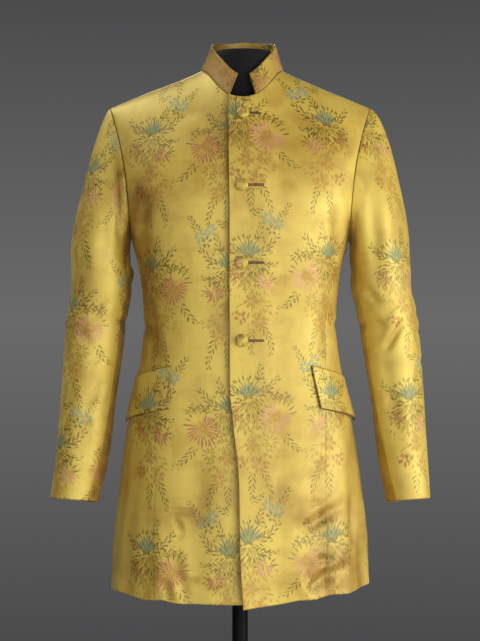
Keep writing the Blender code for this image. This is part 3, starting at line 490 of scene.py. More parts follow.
def brocade():
    """Gold satin with flower sprays: the ground shines, the coloured floats are duller and stand up."""
    made, tree, shader = new_material("gold_satin_brocade")
    cloth = add_node(tree, "UVMap", uv_map="cloth")
    wobble = add_node(tree, "TexNoise", "Color", Scale=WANDER_SCALE, Detail=2.0, Vector=cloth)
    over, upward, _ = components(cloth)
    places = zip((over, upward), components(wobble))
    across, up = (at.scaled(1 / MM, stray.scaled(WANDER, -WANDER / 2)) for at, stray in places)
    masks = lay_threads(spray_places(across, up))
    patches = noise(cloth, PATCHES)
    warp, weft = (noise(cloth, 1.0, stretch=grain) for grain in (WARP_GRAIN, WEFT_GRAIN))
    colour = blend(ramp(patches, *PATCHES_RAMP), SATIN, PALE_SATIN)
    colour = blend(ramp(warp + weft, *GRAIN_RAMP) * WARP_SHARE, colour, WARP)
    colour = blend(ramp(noise(cloth, *TARNISHED), *TARNISHED_RAMP) * TARNISH_SHARE, colour, TARNISH)
    broken = noise(cloth, 1.0, 1.0, stretch=BROKEN_THREADS)
    wear = ramp(noise(cloth, *WEAR), *WEAR_RAMP) * ramp(broken, *BROKEN_RAMP)
    # rose floats paler in random patches, and towards +x as painted sheen
    rose = blend(ramp(patches + over * SHEEN_TO_ONE_SIDE, *PALE_RAMP), THREADS["rose"], PALE_ROSE)
    for thread, shade in THREADS.items():
        colour = blend(masks[thread] * wear, colour, rose if thread == "rose" else shade)
    # painted shade from the mesh: by folded edges and seams, then in hollows, patches and shaded sides,
    # broken up by noise
    rim, shade_amount, _ = components(add_node(tree, "UVMap", uv_map="finish"))
    mottled_shade = shade_amount * ramp(noise(cloth, *SHADE_MOTTLE), *SHADE_MOTTLE_RAMP).scaled(*SHADE_MOTTLE_LEVELS)
    colour = blend(mottled_shade, colour, FULL_SHADE, "MULTIPLY")
    colour = blend(rim * RIM_SHARE, colour, RIM_SHADE, "MULTIPLY")
    floats = masks["teal"]
    for thread in ("rose", "blue", "brown"):
        floats = floats.make("MAXIMUM", masks[thread])
    plug(shader["Base Color"], colour)
    plug(shader["Roughness"], floats.scaled(*FLOAT_ROUGHNESS))
    plug(shader["Metallic"], floats.scaled(*FLOAT_METALLIC))
    plug(shader["Tangent"], add_node(tree, "Tangent", direction_type="UV_MAP", uv_map="cloth"))
    for name, value in SATIN_SHINE.items():
        shader[name].default_value = value
    slack = noise(cloth, 1.0, 1.5, stretch=SLACK)
    height = floats * FLOAT_HEIGHT + (warp + weft) * GRAIN_HEIGHT + slack * SLACK_HEIGHT
    bump(shader, height, MM, BUMP_STRENGTH)
    return made


# ---- The plain materials: how each noise is scaled, and what it adds -----------------------------
PLAIN_BLOTCHES, PLAIN_MIX, PLAIN_SPECULAR = 12.0, (0.9, -0.4), 0.3
GRAIN_ROUGHNESS = 0.2  # from the smoothest threads to the roughest
COAT_GRAIN, COAT_BUMP, COAT_BLOTCHES, COAT_MIX = 1400.0, 0.00012, (9.0, 3.0), (1.4, -0.3)
COAT_DARK, COAT_LIGHT, COAT_ROUGHNESS, COAT_SPECULAR = srgb(5, 5, 6), srgb(11, 11, 12), (0.25, 0.36), 0.1
FLOOR_BLOTCHES, FLOOR_DARK, FLOOR_LIGHT = (1.5, 3.0), srgb(196, 196, 198), srgb(206, 206, 207)
FLOOR_ROUGHNESS = 0.75


def plain_cloth(name, dark, light, scale, roughness, sheen, height):
    """An even cloth with a fine grain, for the lining, the form and the buttonholes."""
    made, tree, shader = new_material(name)
    place = add_node(tree, "TexCoord", "Object")
    grain, broad = noise(place, 1.0, stretch=scale), noise(place, PLAIN_BLOTCHES)
    plug(shader["Base Color"], blend((grain + broad).scaled(*PLAIN_MIX, clamp=True), dark, light))
    plug(shader["Roughness"], grain.scaled(GRAIN_ROUGHNESS, roughness - GRAIN_ROUGHNESS / 2))
    shader["Sheen Weight"].default_value = sheen
    shader["Specular IOR Level"].default_value = PLAIN_SPECULAR
    bump(shader, grain, height)
    return made


def powder_coat():
    made, tree, shader = new_material("black_powder_coat")
    place = add_node(tree, "TexCoord", "Object")
    fine, broad = noise(place, COAT_GRAIN), noise(place, *COAT_BLOTCHES)
    plug(shader["Base Color"], blend(broad.scaled(*COAT_MIX, clamp=True), COAT_DARK, COAT_LIGHT))
    plug(shader["Roughness"], broad.scaled(*COAT_ROUGHNESS))
    shader["Specular IOR Level"].default_value = COAT_SPECULAR
    bump(shader, fine, COAT_BUMP)
    return made


def studio_floor():
    made, tree, shader = new_material("pale_floor")
    broad = noise(add_node(tree, "TexCoord", "Object"), *FLOOR_BLOTCHES)
    plug(shader["Base Color"], blend(broad, FLOOR_DARK, FLOOR_LIGHT))
    shader["Roughness"].default_value = FLOOR_ROUGHNESS
    return made


BROCADE = brocade()
LINING, JERSEY, SILK = (
    plain_cloth(*row)
    for row in (
        ("tan_satin_lining", srgb(150, 118, 58), srgb(172, 138, 72), (60, 60, 900), 0.42, 0.10, 0.0001),
        ("black_jersey", srgb(5, 5, 7), srgb(12, 12, 15), (900, 900, 350), 0.85, 0.05, 0.0002),
        ("purple_brown_silk", srgb(84, 48, 40), srgb(118, 74, 54), (2500, 2500, 2500), 0.50, 0.20, 0.0001),
    )
)
STEEL = powder_coat()


# ============================== Surfaces, as in the CAD =========================================
def smoothstep(x):
    x = np.clip(x, 0.0, 1.0)
    return x * x * (3.0 - 2.0 * x)


def hermite(t, start, stop, leave, arrive):
    """A cubic from start to stop over t from 0 to 1, with a direction at each end."""
    ends = start * (1 + 2 * t) * (1 - t) ** 2 + stop * t * t * (3 - 2 * t)
    return ends + t * (1 - t) * (leave * (1 - t) - arrive * t)


def monotone(x, table, column=1):
    """A table's column at x by a monotone cubic, so that no bulge appears between its rows."""
    rows = np.array(table, float)
    xs, ys = rows[:, 0], rows[:, column]
    step = np.diff(xs)
    slope = np.diff(ys) / step
    knot = np.zeros(len(xs))
    knot[0], knot[-1] = slope[0], slope[-1]
    same_way = slope[:-1] * slope[1:] > 0
    before, after = 2 * step[1:] + step[:-1], step[1:] + 2 * step[:-1]
    safe = np.where(same_way, slope[:-1], 1.0), np.where(same_way, slope[1:], 1.0)
    mean = (before + after) / (before / safe[0] + after / safe[1])
    knot[1:-1] = np.where(same_way, mean, 0.0)
    x = np.asarray(x, float)
    i = np.clip(np.searchsorted(xs, x) - 1, 0, len(step) - 1)
    t = np.clip((x - xs[i]) / step[i], 0.0, 1.0)
    return hermite(t, ys[i], ys[i + 1], step[i] * knot[i], step[i] * knot[i + 1])


def level_column(height, name):
    return monotone(height, LEVELS, LEVEL.index(name))


def tube_column(height, name):
    return monotone(height, TUBES, TUBE.index(name))


def unit(vectors):
    return vectors / np.linalg.norm(vectors, axis=-1, keepdims=True)


def ridge(x):
    """Height of the shoulder line at a distance from the centre."""
    inward = math.hypot(SHOULDER_X, RIDGE_ROUND) - np.hypot(x, RIDGE_ROUND)
    return SHOULDER_Z + SHOULDER_SLOPE * inward + neck_sweep(x)


def neck_sweep(x):
    return NECK_RISE * np.exp(-((x / NECK_RISE_WIDTH) ** 2))


def neck_shift(x, w):
    """How far the cloth near the neck sits to the wearer's left."""
    near = np.exp(-((x / NECK_SHIFT_WIDTH) ** 2))
    return NECK_SHIFT * near * smoothstep((w - NECK_SHIFT_FROM) / (NECK_SHIFT_TO - NECK_SHIFT_FROM))


def roll(w):
    """How far over towards the shoulder line the surface has rolled: 0 to a quarter turn."""
    return np.clip((w - CHEST_Z) / ROLL_LENGTH, 0.0, 1.0) * math.pi / 2


def level_of(w):
    """The outline that applies at a distance w along the cloth."""
    return np.where(w < CHEST_Z, w, CHEST_Z + (SHOULDER_Z - CHEST_Z) * np.sin(roll(w)))


def outline(theta, half, front, back, square=0.0):
    """x and y round a level: half an ellipse in front and half behind, both a little squared."""
    sine, cosine = np.sin(theta), np.cos(theta)
    depth = np.where(cosine > 0, front, back)
    return half * sine * (1 + square * cosine**2), -depth * cosine * (1 + square * sine**2)


def rolled(x, y, w, top):
    """Points at a distance w up the cloth, where the surface rolls over from the chest to its top."""
    z = np.where(w < CHEST_Z, w, CHEST_Z + (top - CHEST_Z) * np.sin(roll(w)))
    return np.stack([x + neck_shift(x, w), y * np.cos(roll(w)), z], axis=-1)


def body_point(theta, w):
    """The coat's outer surface: theta is 0 in front and 90 degrees at +X, w the way up the cloth."""
    theta, w = np.broadcast_arrays(np.asarray(theta, float), np.asarray(w, float))
    x, y = outline(theta, *(level_column(level_of(w), name) for name in LEVEL[1:]))
    return rolled(x, y, w, ridge(x))


def body_normal(theta, w, step=1e-4):
    """Outward unit normal of that surface."""
    around = body_point(theta + step, w) - body_point(theta - step, w)
    up = body_point(theta, w + step) - body_point(theta, w - step)
    return unit(np.cross(around, up))


def on_body(grid):
    """Points and normals of the body surface over a grid of (theta, w)."""
    theta, w = grid[..., 0], grid[..., 1]
    return body_point(theta, w), body_normal(theta, w)


def theta_at_x(x, level):
    """The angle at which a level's front outline reaches x."""
    square = level_column(level, "square")
    goal = np.clip(np.asarray(x, float) / level_column(level, "half_width"), -1.0, 1.0)
    sine = goal / (1 + square * (1 - goal**2))
    for _ in range(NEWTON_STEPS):
        error = sine * (1 + square * (1 - sine**2)) - goal
        sine = np.clip(sine - error / (1 + square - 3 * square * sine**2), -1.0, 1.0)
    return np.arcsin(sine)


def neckline(psi):
    """(theta, w) of the neckline at a plan angle round it: 0 in front, 180 degrees behind."""
    psi = np.asarray(psi, float)
    goal_x = NECK_HALF * np.abs(np.sin(psi))
    ahead = np.maximum(np.cos(psi), 0.0)
    goal_y = np.where(ahead > 0, NECK_FRONT * ahead**NECK_POINT, NECK_BACK * np.abs(np.cos(psi)))
    low, high = np.full(psi.shape, CHEST_Z), np.full(psi.shape, TOP)
    for _ in range(HALVINGS):
        w = (low + high) / 2
        theta = theta_at_x(goal_x, level_of(w))
        theta = np.where(np.cos(psi) > 0, theta, math.pi - theta)
        outside = np.abs(body_point(theta, w)[..., 1]) > goal_y
        low, high = np.where(outside, w, low), np.where(outside, high, w)
    return np.stack([np.where(np.sin(psi) < 0, -theta, theta), w], axis=-1)


def armhole(phi):
    """(theta, w) round the armhole: phi 0 at the shoulder point, 90 in front, 180 at the armpit."""
    phi = np.asarray(phi, float)
    z = (SHOULDER_Z + ARMPIT_Z) / 2 + (SHOULDER_Z - ARMPIT_Z) / 2 * np.cos(phi)
    armpit_x = level_column(ARMPIT_Z, "half_width")
    out = ((1 + np.cos(phi)) / 2) ** ARMHOLE_CURVE
    x = armpit_x + (SHOULDER_X - armpit_x) * out
    turned = np.arcsin(np.clip((z - CHEST_Z) / (ridge(x) - CHEST_Z), 0.0, 1.0))
    w = np.where(z < CHEST_Z, z, CHEST_Z + ROLL_LENGTH * turned / (math.pi / 2))
    theta = theta_at_x(x, level_of(w))
    behind = np.mod(phi, 2 * math.pi) > math.pi
    return np.stack([np.where(behind, math.pi - theta, theta), w], axis=-1)


HEM_WAVES = (  # degrees round from the centre front, half width in degrees, rise in millimetres
    (-165, 6, 1.2),
    (-140, 5, -1.4),
    (-118, 6, 1.5),
    (-92, 5, -1.2),
    (-66, 6, 1.4),
    (-44, 4, -1.2),
    (-33, 3, 2.2),
    (-24, 4, -1.3),
    (23, 4, 1.6),
    (32, 3, -1.5),
    (41, 4, 1.9),
    (52, 4, -1.4),
    (74, 6, 1.3),
    (100, 5, -1.4),
    (126, 6, 1.4),
    (150, 6, -1.2),
)


def hem_height(theta, side):
    """The hem's height: it rises from the centre front to the side and drops a little behind."""
    across = np.abs(np.sin(theta))
    early = (1 + HEM_EARLY_RISE) * across - HEM_EARLY_RISE * across**2
    curve = early if side > 0 else across**2
    front = HEM_FRONT[side] + (HEM_SIDE[side] - HEM_FRONT[side]) * curve
    back = HEM_BACK + (HEM_SIDE[side] - HEM_BACK) * across**2
    level = np.where(np.cos(theta) > 0, front, back)
    for degrees, width, rise in HEM_WAVES:
        away = (np.degrees(theta) * side - degrees + 180) % 360 - 180
        level = level + rise * MM * np.exp(-((away / width) ** 2))
    return level


def over_lift(x):
    """How far the buttoned front stands off the body surface."""
    return LAP * smoothstep((LAP_END_X - x) / (LAP_END_X - LAP_FULL_X))


def front_edge_x(w, side):
    """x of a front's free edge: the buttoned one leans, the one under it is straight."""
    return monotone(w, OVER_EDGE) if side > 0 else np.full(np.shape(w), -UNDER_EDGE_X)


def tube_centre(height):
    return np.stack([tube_column(height, "x"), tube_column(height, "y"), height], axis=-1)


def sleeve_point(phi, v, side):
    """A sleeve's surface: v runs 0 to 1 down the cap and 1 to 2 down the tube."""
    phi, v = np.broadcast_arrays(np.asarray(phi, float), np.asarray(v, float))
    top_z, cuff_z = TUBES[-1][0], TUBES[0][0]
    down = np.clip(v - 1.0, 0.0, 1.0)
    height = top_z + (cuff_z - top_z) * down
    centre = tube_centre(height)
    axis = unit(tube_centre(height - NEAR) - tube_centre(height + NEAR))
    centre[..., 0] += SLEEVE_BOW[side] * np.sin(math.pi * down) ** BOW_FULLNESS
    centre[..., 0] += SLEEVE_NARROW[side] * down
    out = (tube_column(height, "half_width") - SLEEVE_NARROW[side] * down) * np.cos(phi)
    ahead = -tube_column(height, "half_depth") * np.sin(phi)
    tilt = (axis[..., 0] * out + axis[..., 1] * ahead) / -axis[..., 2] * smoothstep(down)
    ring = centre + np.stack([out, ahead, tilt], axis=-1)
    loop = armhole(phi)
    away = unit(np.array(CAP_START))
    start = body_point(loop[..., 0], loop[..., 1]) + away * SEAM_GAP
    reach = np.linalg.norm(ring - start, axis=-1, keepdims=True)
    t = np.clip(v, 0.0, 1.0)[..., None]
    first, last = CAP_PULLS[side]
    leave, arrive = away * first * reach, axis * last * reach
    return np.where(v[..., None] < 1.0, hermite(t, start, ring, leave, arrive), ring)


def sleeve_normal(phi, v, side, step=1e-4):
    before, after = np.maximum(v - step, 0.0), np.minimum(v + step, 2.0)
    around = sleeve_point(phi + step, v, side) - sleeve_point(phi - step, v, side)
    down = sleeve_point(phi, after, side) - sleeve_point(phi, before, side)
    return unit(np.cross(around, down))


def form_point(theta, w):
    """The form's surface: the body surface drawn in by its ease, with plain rounded shoulders."""
    level = level_of(w)
    ease = monotone(level, FORM_EASE)
    half, front, back, square = (level_column(level, name) for name in LEVEL[1:])
    half = np.minimum(half, FORM_HALF_SHOULDER + ease)
    x, y = outline(theta, half - ease, front - ease, back - ease, square)
    return rolled(x, y, w, ridge(x) - neck_sweep(x) - FORM_RIDGE_DROP)


def on_side(grid, side):
    """A grid drawn for +X, mirrored to -X where the side asks for it."""
    return grid if side > 0 else (grid * (-1, 1))[:, ::-1]


def patch(left, right, bottom, top, u, v):
    """A Coons patch of (theta, w) that fits its four edges, with lines at the shares u and v."""
    across, up = u[None, :, None], v[:, None, None]
    between = (1 - across) * left[:, None] + across * right[:, None]
    between += (1 - up) * bottom[None] + up * top[None]
    low = (1 - across) * bottom[0] + across * bottom[-1]
    high = (1 - across) * top[0] + across * top[-1]
    return between - (1 - up) * low - up * high


def graded(length, step=STEP):
    """Shares of a length: even steps, with closer lines beside both ends."""
    near = np.array(EDGE_STEPS)
    count = max(2, round((length - 2 * near[-1]) / step))
    middle = np.linspace(near[-1], length - near[-1], count + 1)
    return np.concatenate([near[:-1], middle, (length - near[:-1])[::-1]]) / length


# ============================== Panels of the body, as (theta, w) ===============================
# About how long and wide the panels are, to space their grid lines.
PANEL_LENGTH, FRONT_WIDTH, SIDE_WIDTH, BACK_WIDTH = 0.84, 0.19, 0.13, 0.18


def up_the_side(seam, degrees, v):
    """Up a side seam by its share v, then round the armhole."""
    knots = np.linspace(V_SPLIT, 1.0, len(degrees))
    phi = np.minimum(np.radians(np.interp(v, knots, degrees)), FULL_TURN)
    return np.where((v < V_SPLIT)[:, None], seam(np.minimum(v / V_SPLIT, 1.0)), armhole(phi))


def hem(start, stop, u, side):
    theta = start + (stop - start) * u
    return np.stack([theta, hem_height(theta, side)], axis=-1)


def front_seam(side):
    """A function of the share v, from the hem to the armhole: the seam of a front and its side."""
    top = armhole(math.radians(ARMHOLE_FRONT))
    table = FRONT_SEAM + ((top[1], math.degrees(top[0])),)
    foot = float(hem_height(math.radians(FRONT_SEAM[0][1]), side))

    def seam(v):
        w = foot + (top[1] - foot) * v
        return np.stack([np.radians(monotone(w, table)), w], axis=-1)

    return seam


def back_seam(side):
    """A function of the share v: the seam of a side body and its back."""
    top = armhole(math.radians(ARMHOLE_BACK))
    foot = float(hem_height(math.radians(BACK_SEAM_DEG), side))

    def seam(v):
        w = foot + (top[1] - foot) * v
        swing = smoothstep((w - BACK_SEAM_SWING_Z) / (top[1] - BACK_SEAM_SWING_Z))
        return np.stack([math.radians(BACK_SEAM_DEG) * (1 - swing) + top[0] * swing, w], axis=-1)

    return seam


def centre_heights(foot, top, v):
    return np.interp(v, (0, V_SPLIT, 1), (foot, (CHEST_Z + top) / 2 - CENTRE_ROW_DROP, top))


def shoulder(share):
    """(theta, w) along the shoulder seam, from the neckline at 0 to the armhole at 1."""
    theta = theta_at_x(NECK_HALF + (SHOULDER_X - NECK_HALF) * share, SHOULDER_Z)
    return np.stack([theta, np.full(theta.shape, TOP)], axis=-1)


def front_grid(side):
    """Centre edge to side seam, hem to neckline and shoulder."""
    u, v = graded(FRONT_WIDTH), graded(PANEL_LENGTH)
    edge_psi = math.asin(float(front_edge_x(TOP, side)) / NECK_HALF)
    opening = math.asin(NECK_OPENING / NECK_HALF)
    psi = np.interp(u / NECK_SHARE, NECK_STOPS, (edge_psi, 0.0, opening, math.pi / 2))
    on_neck = (u < NECK_SHARE)[:, None]
    top = np.where(on_neck, neckline(psi), shoulder(np.maximum(u - NECK_SHARE, 0) / (1 - NECK_SHARE)))
    w = centre_heights(HEM_FRONT[side], top[0, 1], v)
    theta = theta_at_x(front_edge_x(w, side), level_of(w))
    theta += (top[0, 0] - theta[-1]) * smoothstep((v - V_SPLIT) / (1 - V_SPLIT))
    centre = np.stack([theta, w], axis=-1)
    seam = up_the_side(front_seam(side), (ARMHOLE_FRONT, 0.0), v)
    seam[-1] = top[-1]
    bottom = hem(centre[0, 0], seam[0, 0], u, side)
    bottom[0] = centre[0]
    return patch(centre, seam, bottom, top, u, v)


def side_grid(side):
    u, v = graded(SIDE_WIDTH), graded(PANEL_LENGTH * V_SPLIT)
    seam, rear = front_seam(side)(v), back_seam(side)(v)
    top = armhole(np.radians(ARMHOLE_FRONT + (ARMHOLE_BACK - ARMHOLE_FRONT) * u))
    return patch(seam, rear, hem(seam[0, 0], rear[0, 0], u, side), top, u, v)


def back_grid(side):
    """Side seam to centre back."""
    u, v = graded(BACK_WIDTH), graded(PANEL_LENGTH)
    seam = up_the_side(back_seam(side), (ARMHOLE_BACK, SLEEVE_HIND, 360.0), v)
    outward = 1 - np.minimum(u / BACK_SHOULDER_SHARE, 1.0)
    neck_psi = math.pi / 2 * (1 + np.maximum(u - BACK_SHOULDER_SHARE, 0) / (1 - BACK_SHOULDER_SHARE))
    on_shoulder = (u < BACK_SHOULDER_SHARE)[:, None]
    top = np.where(on_shoulder, shoulder(outward) * (-1, 1) + (math.pi, 0), neckline(neck_psi))
    seam[-1] = top[0]
    w = centre_heights(HEM_BACK, top[-1, 1], v)
    centre = np.stack([np.full(w.shape, math.pi), w], axis=-1)
    return patch(seam, centre, hem(seam[0, 0], math.pi, u, side), top, u, v)


# ============================== Creases =========================================================
# Each is a line through three points as seen from one side, in millimetres, with its depth
# (a trough is negative) and its half width. Across is x for the front and back, and y for the sides.
# Each row: from across, from z, by across, by z, to across, to z, depth, half width.
BODY_CREASES = {
    "front": (
        (-150, 1262, -158, 1205, -155, 1150, -3.2, 9),
        (-166, 1250, -172, 1215, -170, 1180, 1.8, 8),
        (-148, 1092, -141, 1035, -128, 985, -2.4, 9),
        (-120, 752, -96, 757, -70, 751, -2.0, 5),
        (-109, 747, -96, 735, -90, 716, -1.8, 5),
        (-104, 712, -98, 715, -90, 713, -1.2, 4),
        (-107, 650, -103, 632, -92, 608, 2.0, 8),
        (-118, 648, -117, 630, -110, 608, -1.8, 7),
        (-94, 650, -80, 642, -62, 646, -1.6, 6),
        (-40, 700, -46, 655, -44, 610, 1.2, 16),
        (106, 763, 124, 769, 143, 767, -1.5, 4),
        (87, 727, 92, 723, 99, 725, -1.1, 4),
        (122, 672, 138, 678, 157, 674, -2.2, 7),
        (110, 662, 105, 650, 99, 640, -2.0, 5),
        (92, 656, 97, 630, 108, 612, 2.2, 10),
        (150, 690, 152, 650, 150, 618, 2.0, 9),
        (96, 1212, 120, 1213, 142, 1210, -0.5, 2.5),
        (50, 989, 78, 988, 104, 986, -0.5, 2.5),
        (176, 795, 183, 740, 179, 676, -2.2, 6),
        (158, 900, 168, 840, 172, 770, 1.5, 12),
        (60, 900, 70, 800, 66, 700, -1.4, 22),
        (-60, 880, -70, 790, -62, 700, -1.3, 20),
        (20, 1180, 60, 1168, 110, 1180, -0.8, 14),
        (-20, 1120, -60, 1112, -100, 1128, -0.8, 14),
        (92, 722, 130, 738, 172, 768, -3.0, 10),
        (104, 632, 140, 652, 170, 664, -3.4, 10),
        (182, 762, 186, 724, 184, 690, -1.8, 6),
        (58, 640, 86, 654, 116, 640, 1.5, 12),
        (-104, 690, -98, 650, -88, 612, -1.5, 9),
        (-64, 640, -44, 624, -20, 634, -1.8, 6),
        (-152, 770, -142, 690, -144, 620, -1.8, 11),
        (150, 1250, 157, 1205, 156, 1150, -2.4, 8),
        (146, 1090, 140, 1040, 130, 990, -1.6, 9),
        (-60, 1400, -90, 1385, -125, 1378, -0.9, 11),
        (66, 1398, 95, 1384, 130, 1380, -0.9, 11),
    ),
    "back": (
        (-62, 1086, -5, 1072, 66, 1090, -1.5, 8),
        (-94, 1040, -42, 1028, 12, 1043, -1.2, 7),
        (22, 1053, 70, 1043, 112, 1058, -1.2, 7),
        (-104, 1112, -70, 1104, -34, 1114, -0.9, 6),
        (160, 1300, 150, 1248, 147, 1188, -2.6, 9),
        (-158, 1310, -149, 1250, -148, 1200, -2.2, 9),
        (176, 1262, 170, 1222, 165, 1180, 1.6, 8),
        (-60, 900, -66, 780, -74, 640, 2.0, 20),
        (72, 880, 79, 760, 86, 640, 2.0, 22),
        (6, 860, 2, 750, 8, 640, -1.6, 18),
        (-118, 820, -124, 730, -120, 640, -1.6, 15),
        (130, 800, 134, 720, 130, 650, -1.4, 14),
        (-42, 1440, 6, 1432, 54, 1441, -0.8, 7),
        (-100, 1392, -60, 1398, -20, 1390, -0.7, 12),
    ),
    "left": (
        (-34, 1046, 0, 1054, 40, 1042, -1.3, 7),
        (-10, 1010, 18, 1016, 46, 1008, -1.0, 6),
        (-16, 900, -10, 780, -18, 650, 1.6, 16),
        (34, 880, 40, 760, 36, 645, -1.5, 14),
        (-20, 1176, 4, 1150, 20, 1120, -1.6, 8),
    ),
    "right": (
        (-40, 1040, 4, 1050, 36, 1038, -1.3, 7),
        (-6, 1002, 20, 1010, 50, 1000, -1.0, 6),
        (8, 900, 2, 780, 10, 650, 1.6, 16),
        (-44, 880, -40, 760, -46, 645, -1.5, 14),
        (-18, 1178, 6, 1148, 24, 1124, -1.6, 8),
    ),
}
SLEEVE_CREASES = {
    "left": {
        "front": (
            (213, 1341, 222, 1336, 232, 1342, -1.4, 4),
            (226, 1300, 234, 1210, 238, 1110, 1.6, 12),
            (236, 1006, 249, 1030, 268, 1060, -3.3, 6),
            (232, 1040, 244, 1056, 262, 1078, 1.3, 7),
            (256, 838, 270, 833, 284, 829, -1.4, 5),
            (262, 960, 270, 890, 276, 820, 1.4, 11),
            (214, 1250, 219, 1200, 216, 1150, -0.8, 11),
            (197, 1270, 201, 1180, 206, 1085, 2.6, 12),
            (210, 1055, 222, 960, 238, 850, 2.6, 12),
            (206, 1112, 214, 1090, 232, 1082, -2.2, 6),
            (214, 1062, 226, 1048, 244, 1046, -1.6, 5),
            (236, 930, 250, 918, 266, 922, -1.0, 6),
        ),
        "left": (
            (-20, 1090, 0, 1066, 28, 1052, -1.8, 7),
            (-24, 1060, 2, 1034, 30, 1030, -1.5, 6),
            (-30, 1000, -6, 984, 22, 988, -1.0, 6),
            (-10, 1280, 2, 1180, 4, 1110, 1.2, 14),
        ),
        "back": (
            (222, 1290, 228, 1200, 232, 1120, -1.6, 10),
            (226, 1060, 246, 1048, 268, 1058, -1.8, 7),
            (224, 1024, 244, 1016, 264, 1026, -1.2, 6),
            (258, 960, 266, 880, 272, 800, 1.2, 12),
        ),
        "right": (
            (-26, 1100, 0, 1080, 26, 1086, -1.8, 7),
            (-30, 1050, 4, 1040, 30, 1052, -1.6, 7),
            (-24, 1150, 4, 1136, 28, 1142, -1.3, 7),
        ),
    },
    "right": {
        "front": (
            (-203, 1334, -197, 1252, -195, 1170, -2.6, 6),
            (-189, 1340, -189, 1305, -188, 1268, 1.6, 5),
            (-230, 1300, -236, 1210, -240, 1120, 1.4, 13),
            (-255, 902, -246, 892, -236, 886, -1.4, 5),
            (-246, 813, -239, 811, -231, 809, -1.1, 5),
            (-268, 1050, -252, 1030, -238, 1012, -1.6, 8),
            (-262, 960, -270, 890, -280, 820, 1.2, 12),
            (-214, 1092, -224, 1070, -240, 1062, -1.8, 6),
            (-222, 960, -234, 930, -252, 918, -1.6, 7),
            (-218, 1010, -230, 990, -246, 984, -1.3, 6),
        ),
        "right": (
            (-20, 1096, 2, 1070, 30, 1060, -1.8, 7),
            (-26, 1056, 2, 1036, 30, 1030, -1.4, 6),
            (-10, 1270, 2, 1180, 4, 1110, 1.2, 14),
        ),
        "back": (
            (-224, 1290, -229, 1200, -234, 1120, -1.6, 10),
            (-228, 1064, -248, 1050, -270, 1060, -1.8, 7),
            (-226, 1020, -246, 1012, -266, 1022, -1.2, 6),
        ),
        "left": (
            (-26, 1150, 0, 1130, 26, 1136, 2.2, 8),
            (-26, 1124, 2, 1110, 28, 1116, -2.0, 6),
            (-30, 1060, 4, 1046, 30, 1058, -1.5, 7),
        ),
    },
}
VIEWS = {  # the axis that runs across each view, and the direction that faces it
    "front": (0, (0, -1, 0)),
    "back": (0, (0, 1, 0)),
    "left": (1, (1, 0, 0)),
    "right": (1, (-1, 0, 0)),
}
CREASE_POINTS, CREASE_REACH, CREASE_GAIN, CREASE_TAPER = 14, 3.2, 1.8, 0.8
LIP, LIP_AT = 0.35, 1.7  # on one side of a crease the cloth goes the other way a little
FACING_FROM, FACING_FADE = 0.12, 0.30  # cloth that faces a view less than this is left alone by it
WAVES, WAVE_HEIGHT, WAVE_LENGTHS = 7, 0.00013, (0.055, 0.150)
WAVE_SEED, WAVE_LIE = 7, (1.0, 1.0, 0.45)  # the waves run more across the cloth than up it


def facing(normals, view):
    """1 where cloth faces a view, 0 where it is turned away, and the axis that runs across it."""
    axis, direction = VIEWS[view]
    return smoothstep((normals @ np.array(direction) - FACING_FROM) / FACING_FADE), axis


def crease_relief(points, normals, creases):
    """How far the creases raise or sink each point of the cloth along its normal."""
    relief = np.zeros(points.shape[:-1])
    share = np.linspace(0, 1, CREASE_POINTS)
    for view, rows in creases.items():
        seen, axis = facing(normals, view)
        flat = points[..., (axis, 2)]
        for row in rows:
            start, by, stop = (np.array(row[i : i + 2]) * MM for i in (0, 2, 4))
            depth, width = row[6] * MM, row[7] * MM
            s = share[:, None]
            line = start * (1 - s) ** 2 + 2 * by * s * (1 - s) + stop * s * s
            reach = CREASE_REACH * width
            near = ((flat > line.min(axis=0) - reach) & (flat < line.max(axis=0) + reach)).all(axis=-1)
            near &= seen > 0
            if not near.any():
                continue
            away = flat[near][:, None] - line[:-1]
            run = np.diff(line, axis=0)
            along = np.clip((away * run).sum(-1) / (run**2).sum(-1), 0.0, 1.0)
            gap = away - along[..., None] * run
            distance = np.linalg.norm(gap, axis=-1)
            best = distance.argmin(axis=1)
            pick = np.arange(len(best))
            cross = run[best, 0] * away[pick, best, 1] - run[best, 1] * away[pick, best, 0]
            offset = distance[pick, best] / width * np.sign(cross)
            progress = (best + along[pick, best]) / (CREASE_POINTS - 1)
            taper = np.sin(math.pi * np.clip(progress, 0.0, 1.0)) ** CREASE_TAPER
            shape = np.exp(-(offset**2)) - LIP * np.exp(-((offset - LIP_AT) ** 2))
            relief[near] += CREASE_GAIN * depth * shape * taper * seen[near]
    return relief


def undulation(points):
    """Slight unevenness everywhere: a few long waves in set directions."""
    random = np.random.default_rng(WAVE_SEED)
    relief = np.zeros(points.shape[:-1])
    for _ in range(WAVES):
        direction = random.normal(size=3) * WAVE_LIE
        direction *= 2 * math.pi / (random.uniform(*WAVE_LENGTHS) * np.linalg.norm(direction))
        relief += WAVE_HEIGHT * np.sin(points @ direction + random.uniform(0, 2 * math.pi))
    return relief


FOLDS = (  # degrees round from the centre front, half width in degrees, height in millimetres at the hem
    (-172, 7, 2.6),
    (-150, 9, -3.4),
    (-127, 8, 3.6),
    (-101, 10, -3.0),
    (-78, 7, 3.2),
    (-57, 6, -4.2),
    (-36, 8, 3.0),
    (-17, 6, -2.4),
    (21, 6, 1.6),
    (36, 6, -2.6),
    (51, 7, 3.2),
    (68, 6, -3.6),
    (88, 9, 2.8),
    (110, 8, -3.4),
    (133, 9, 3.4),
    (155, 7, -2.6),
)
FOLDS_FROM, FOLDS_RUN = 0.98, 0.34  # the height where they begin, and how far down they keep growing


def drape(theta, w):
    """Soft upright folds that grow down the skirt, uneven all the way round."""
    relief = np.zeros(np.broadcast(theta, w).shape)
    for degrees, width, height in FOLDS:
        away = (np.degrees(theta) - degrees + 180) % 360 - 180
        relief += height * MM * np.exp(-((away / width) ** 2))
    return relief * smoothstep((FOLDS_FROM - w) / FOLDS_RUN)
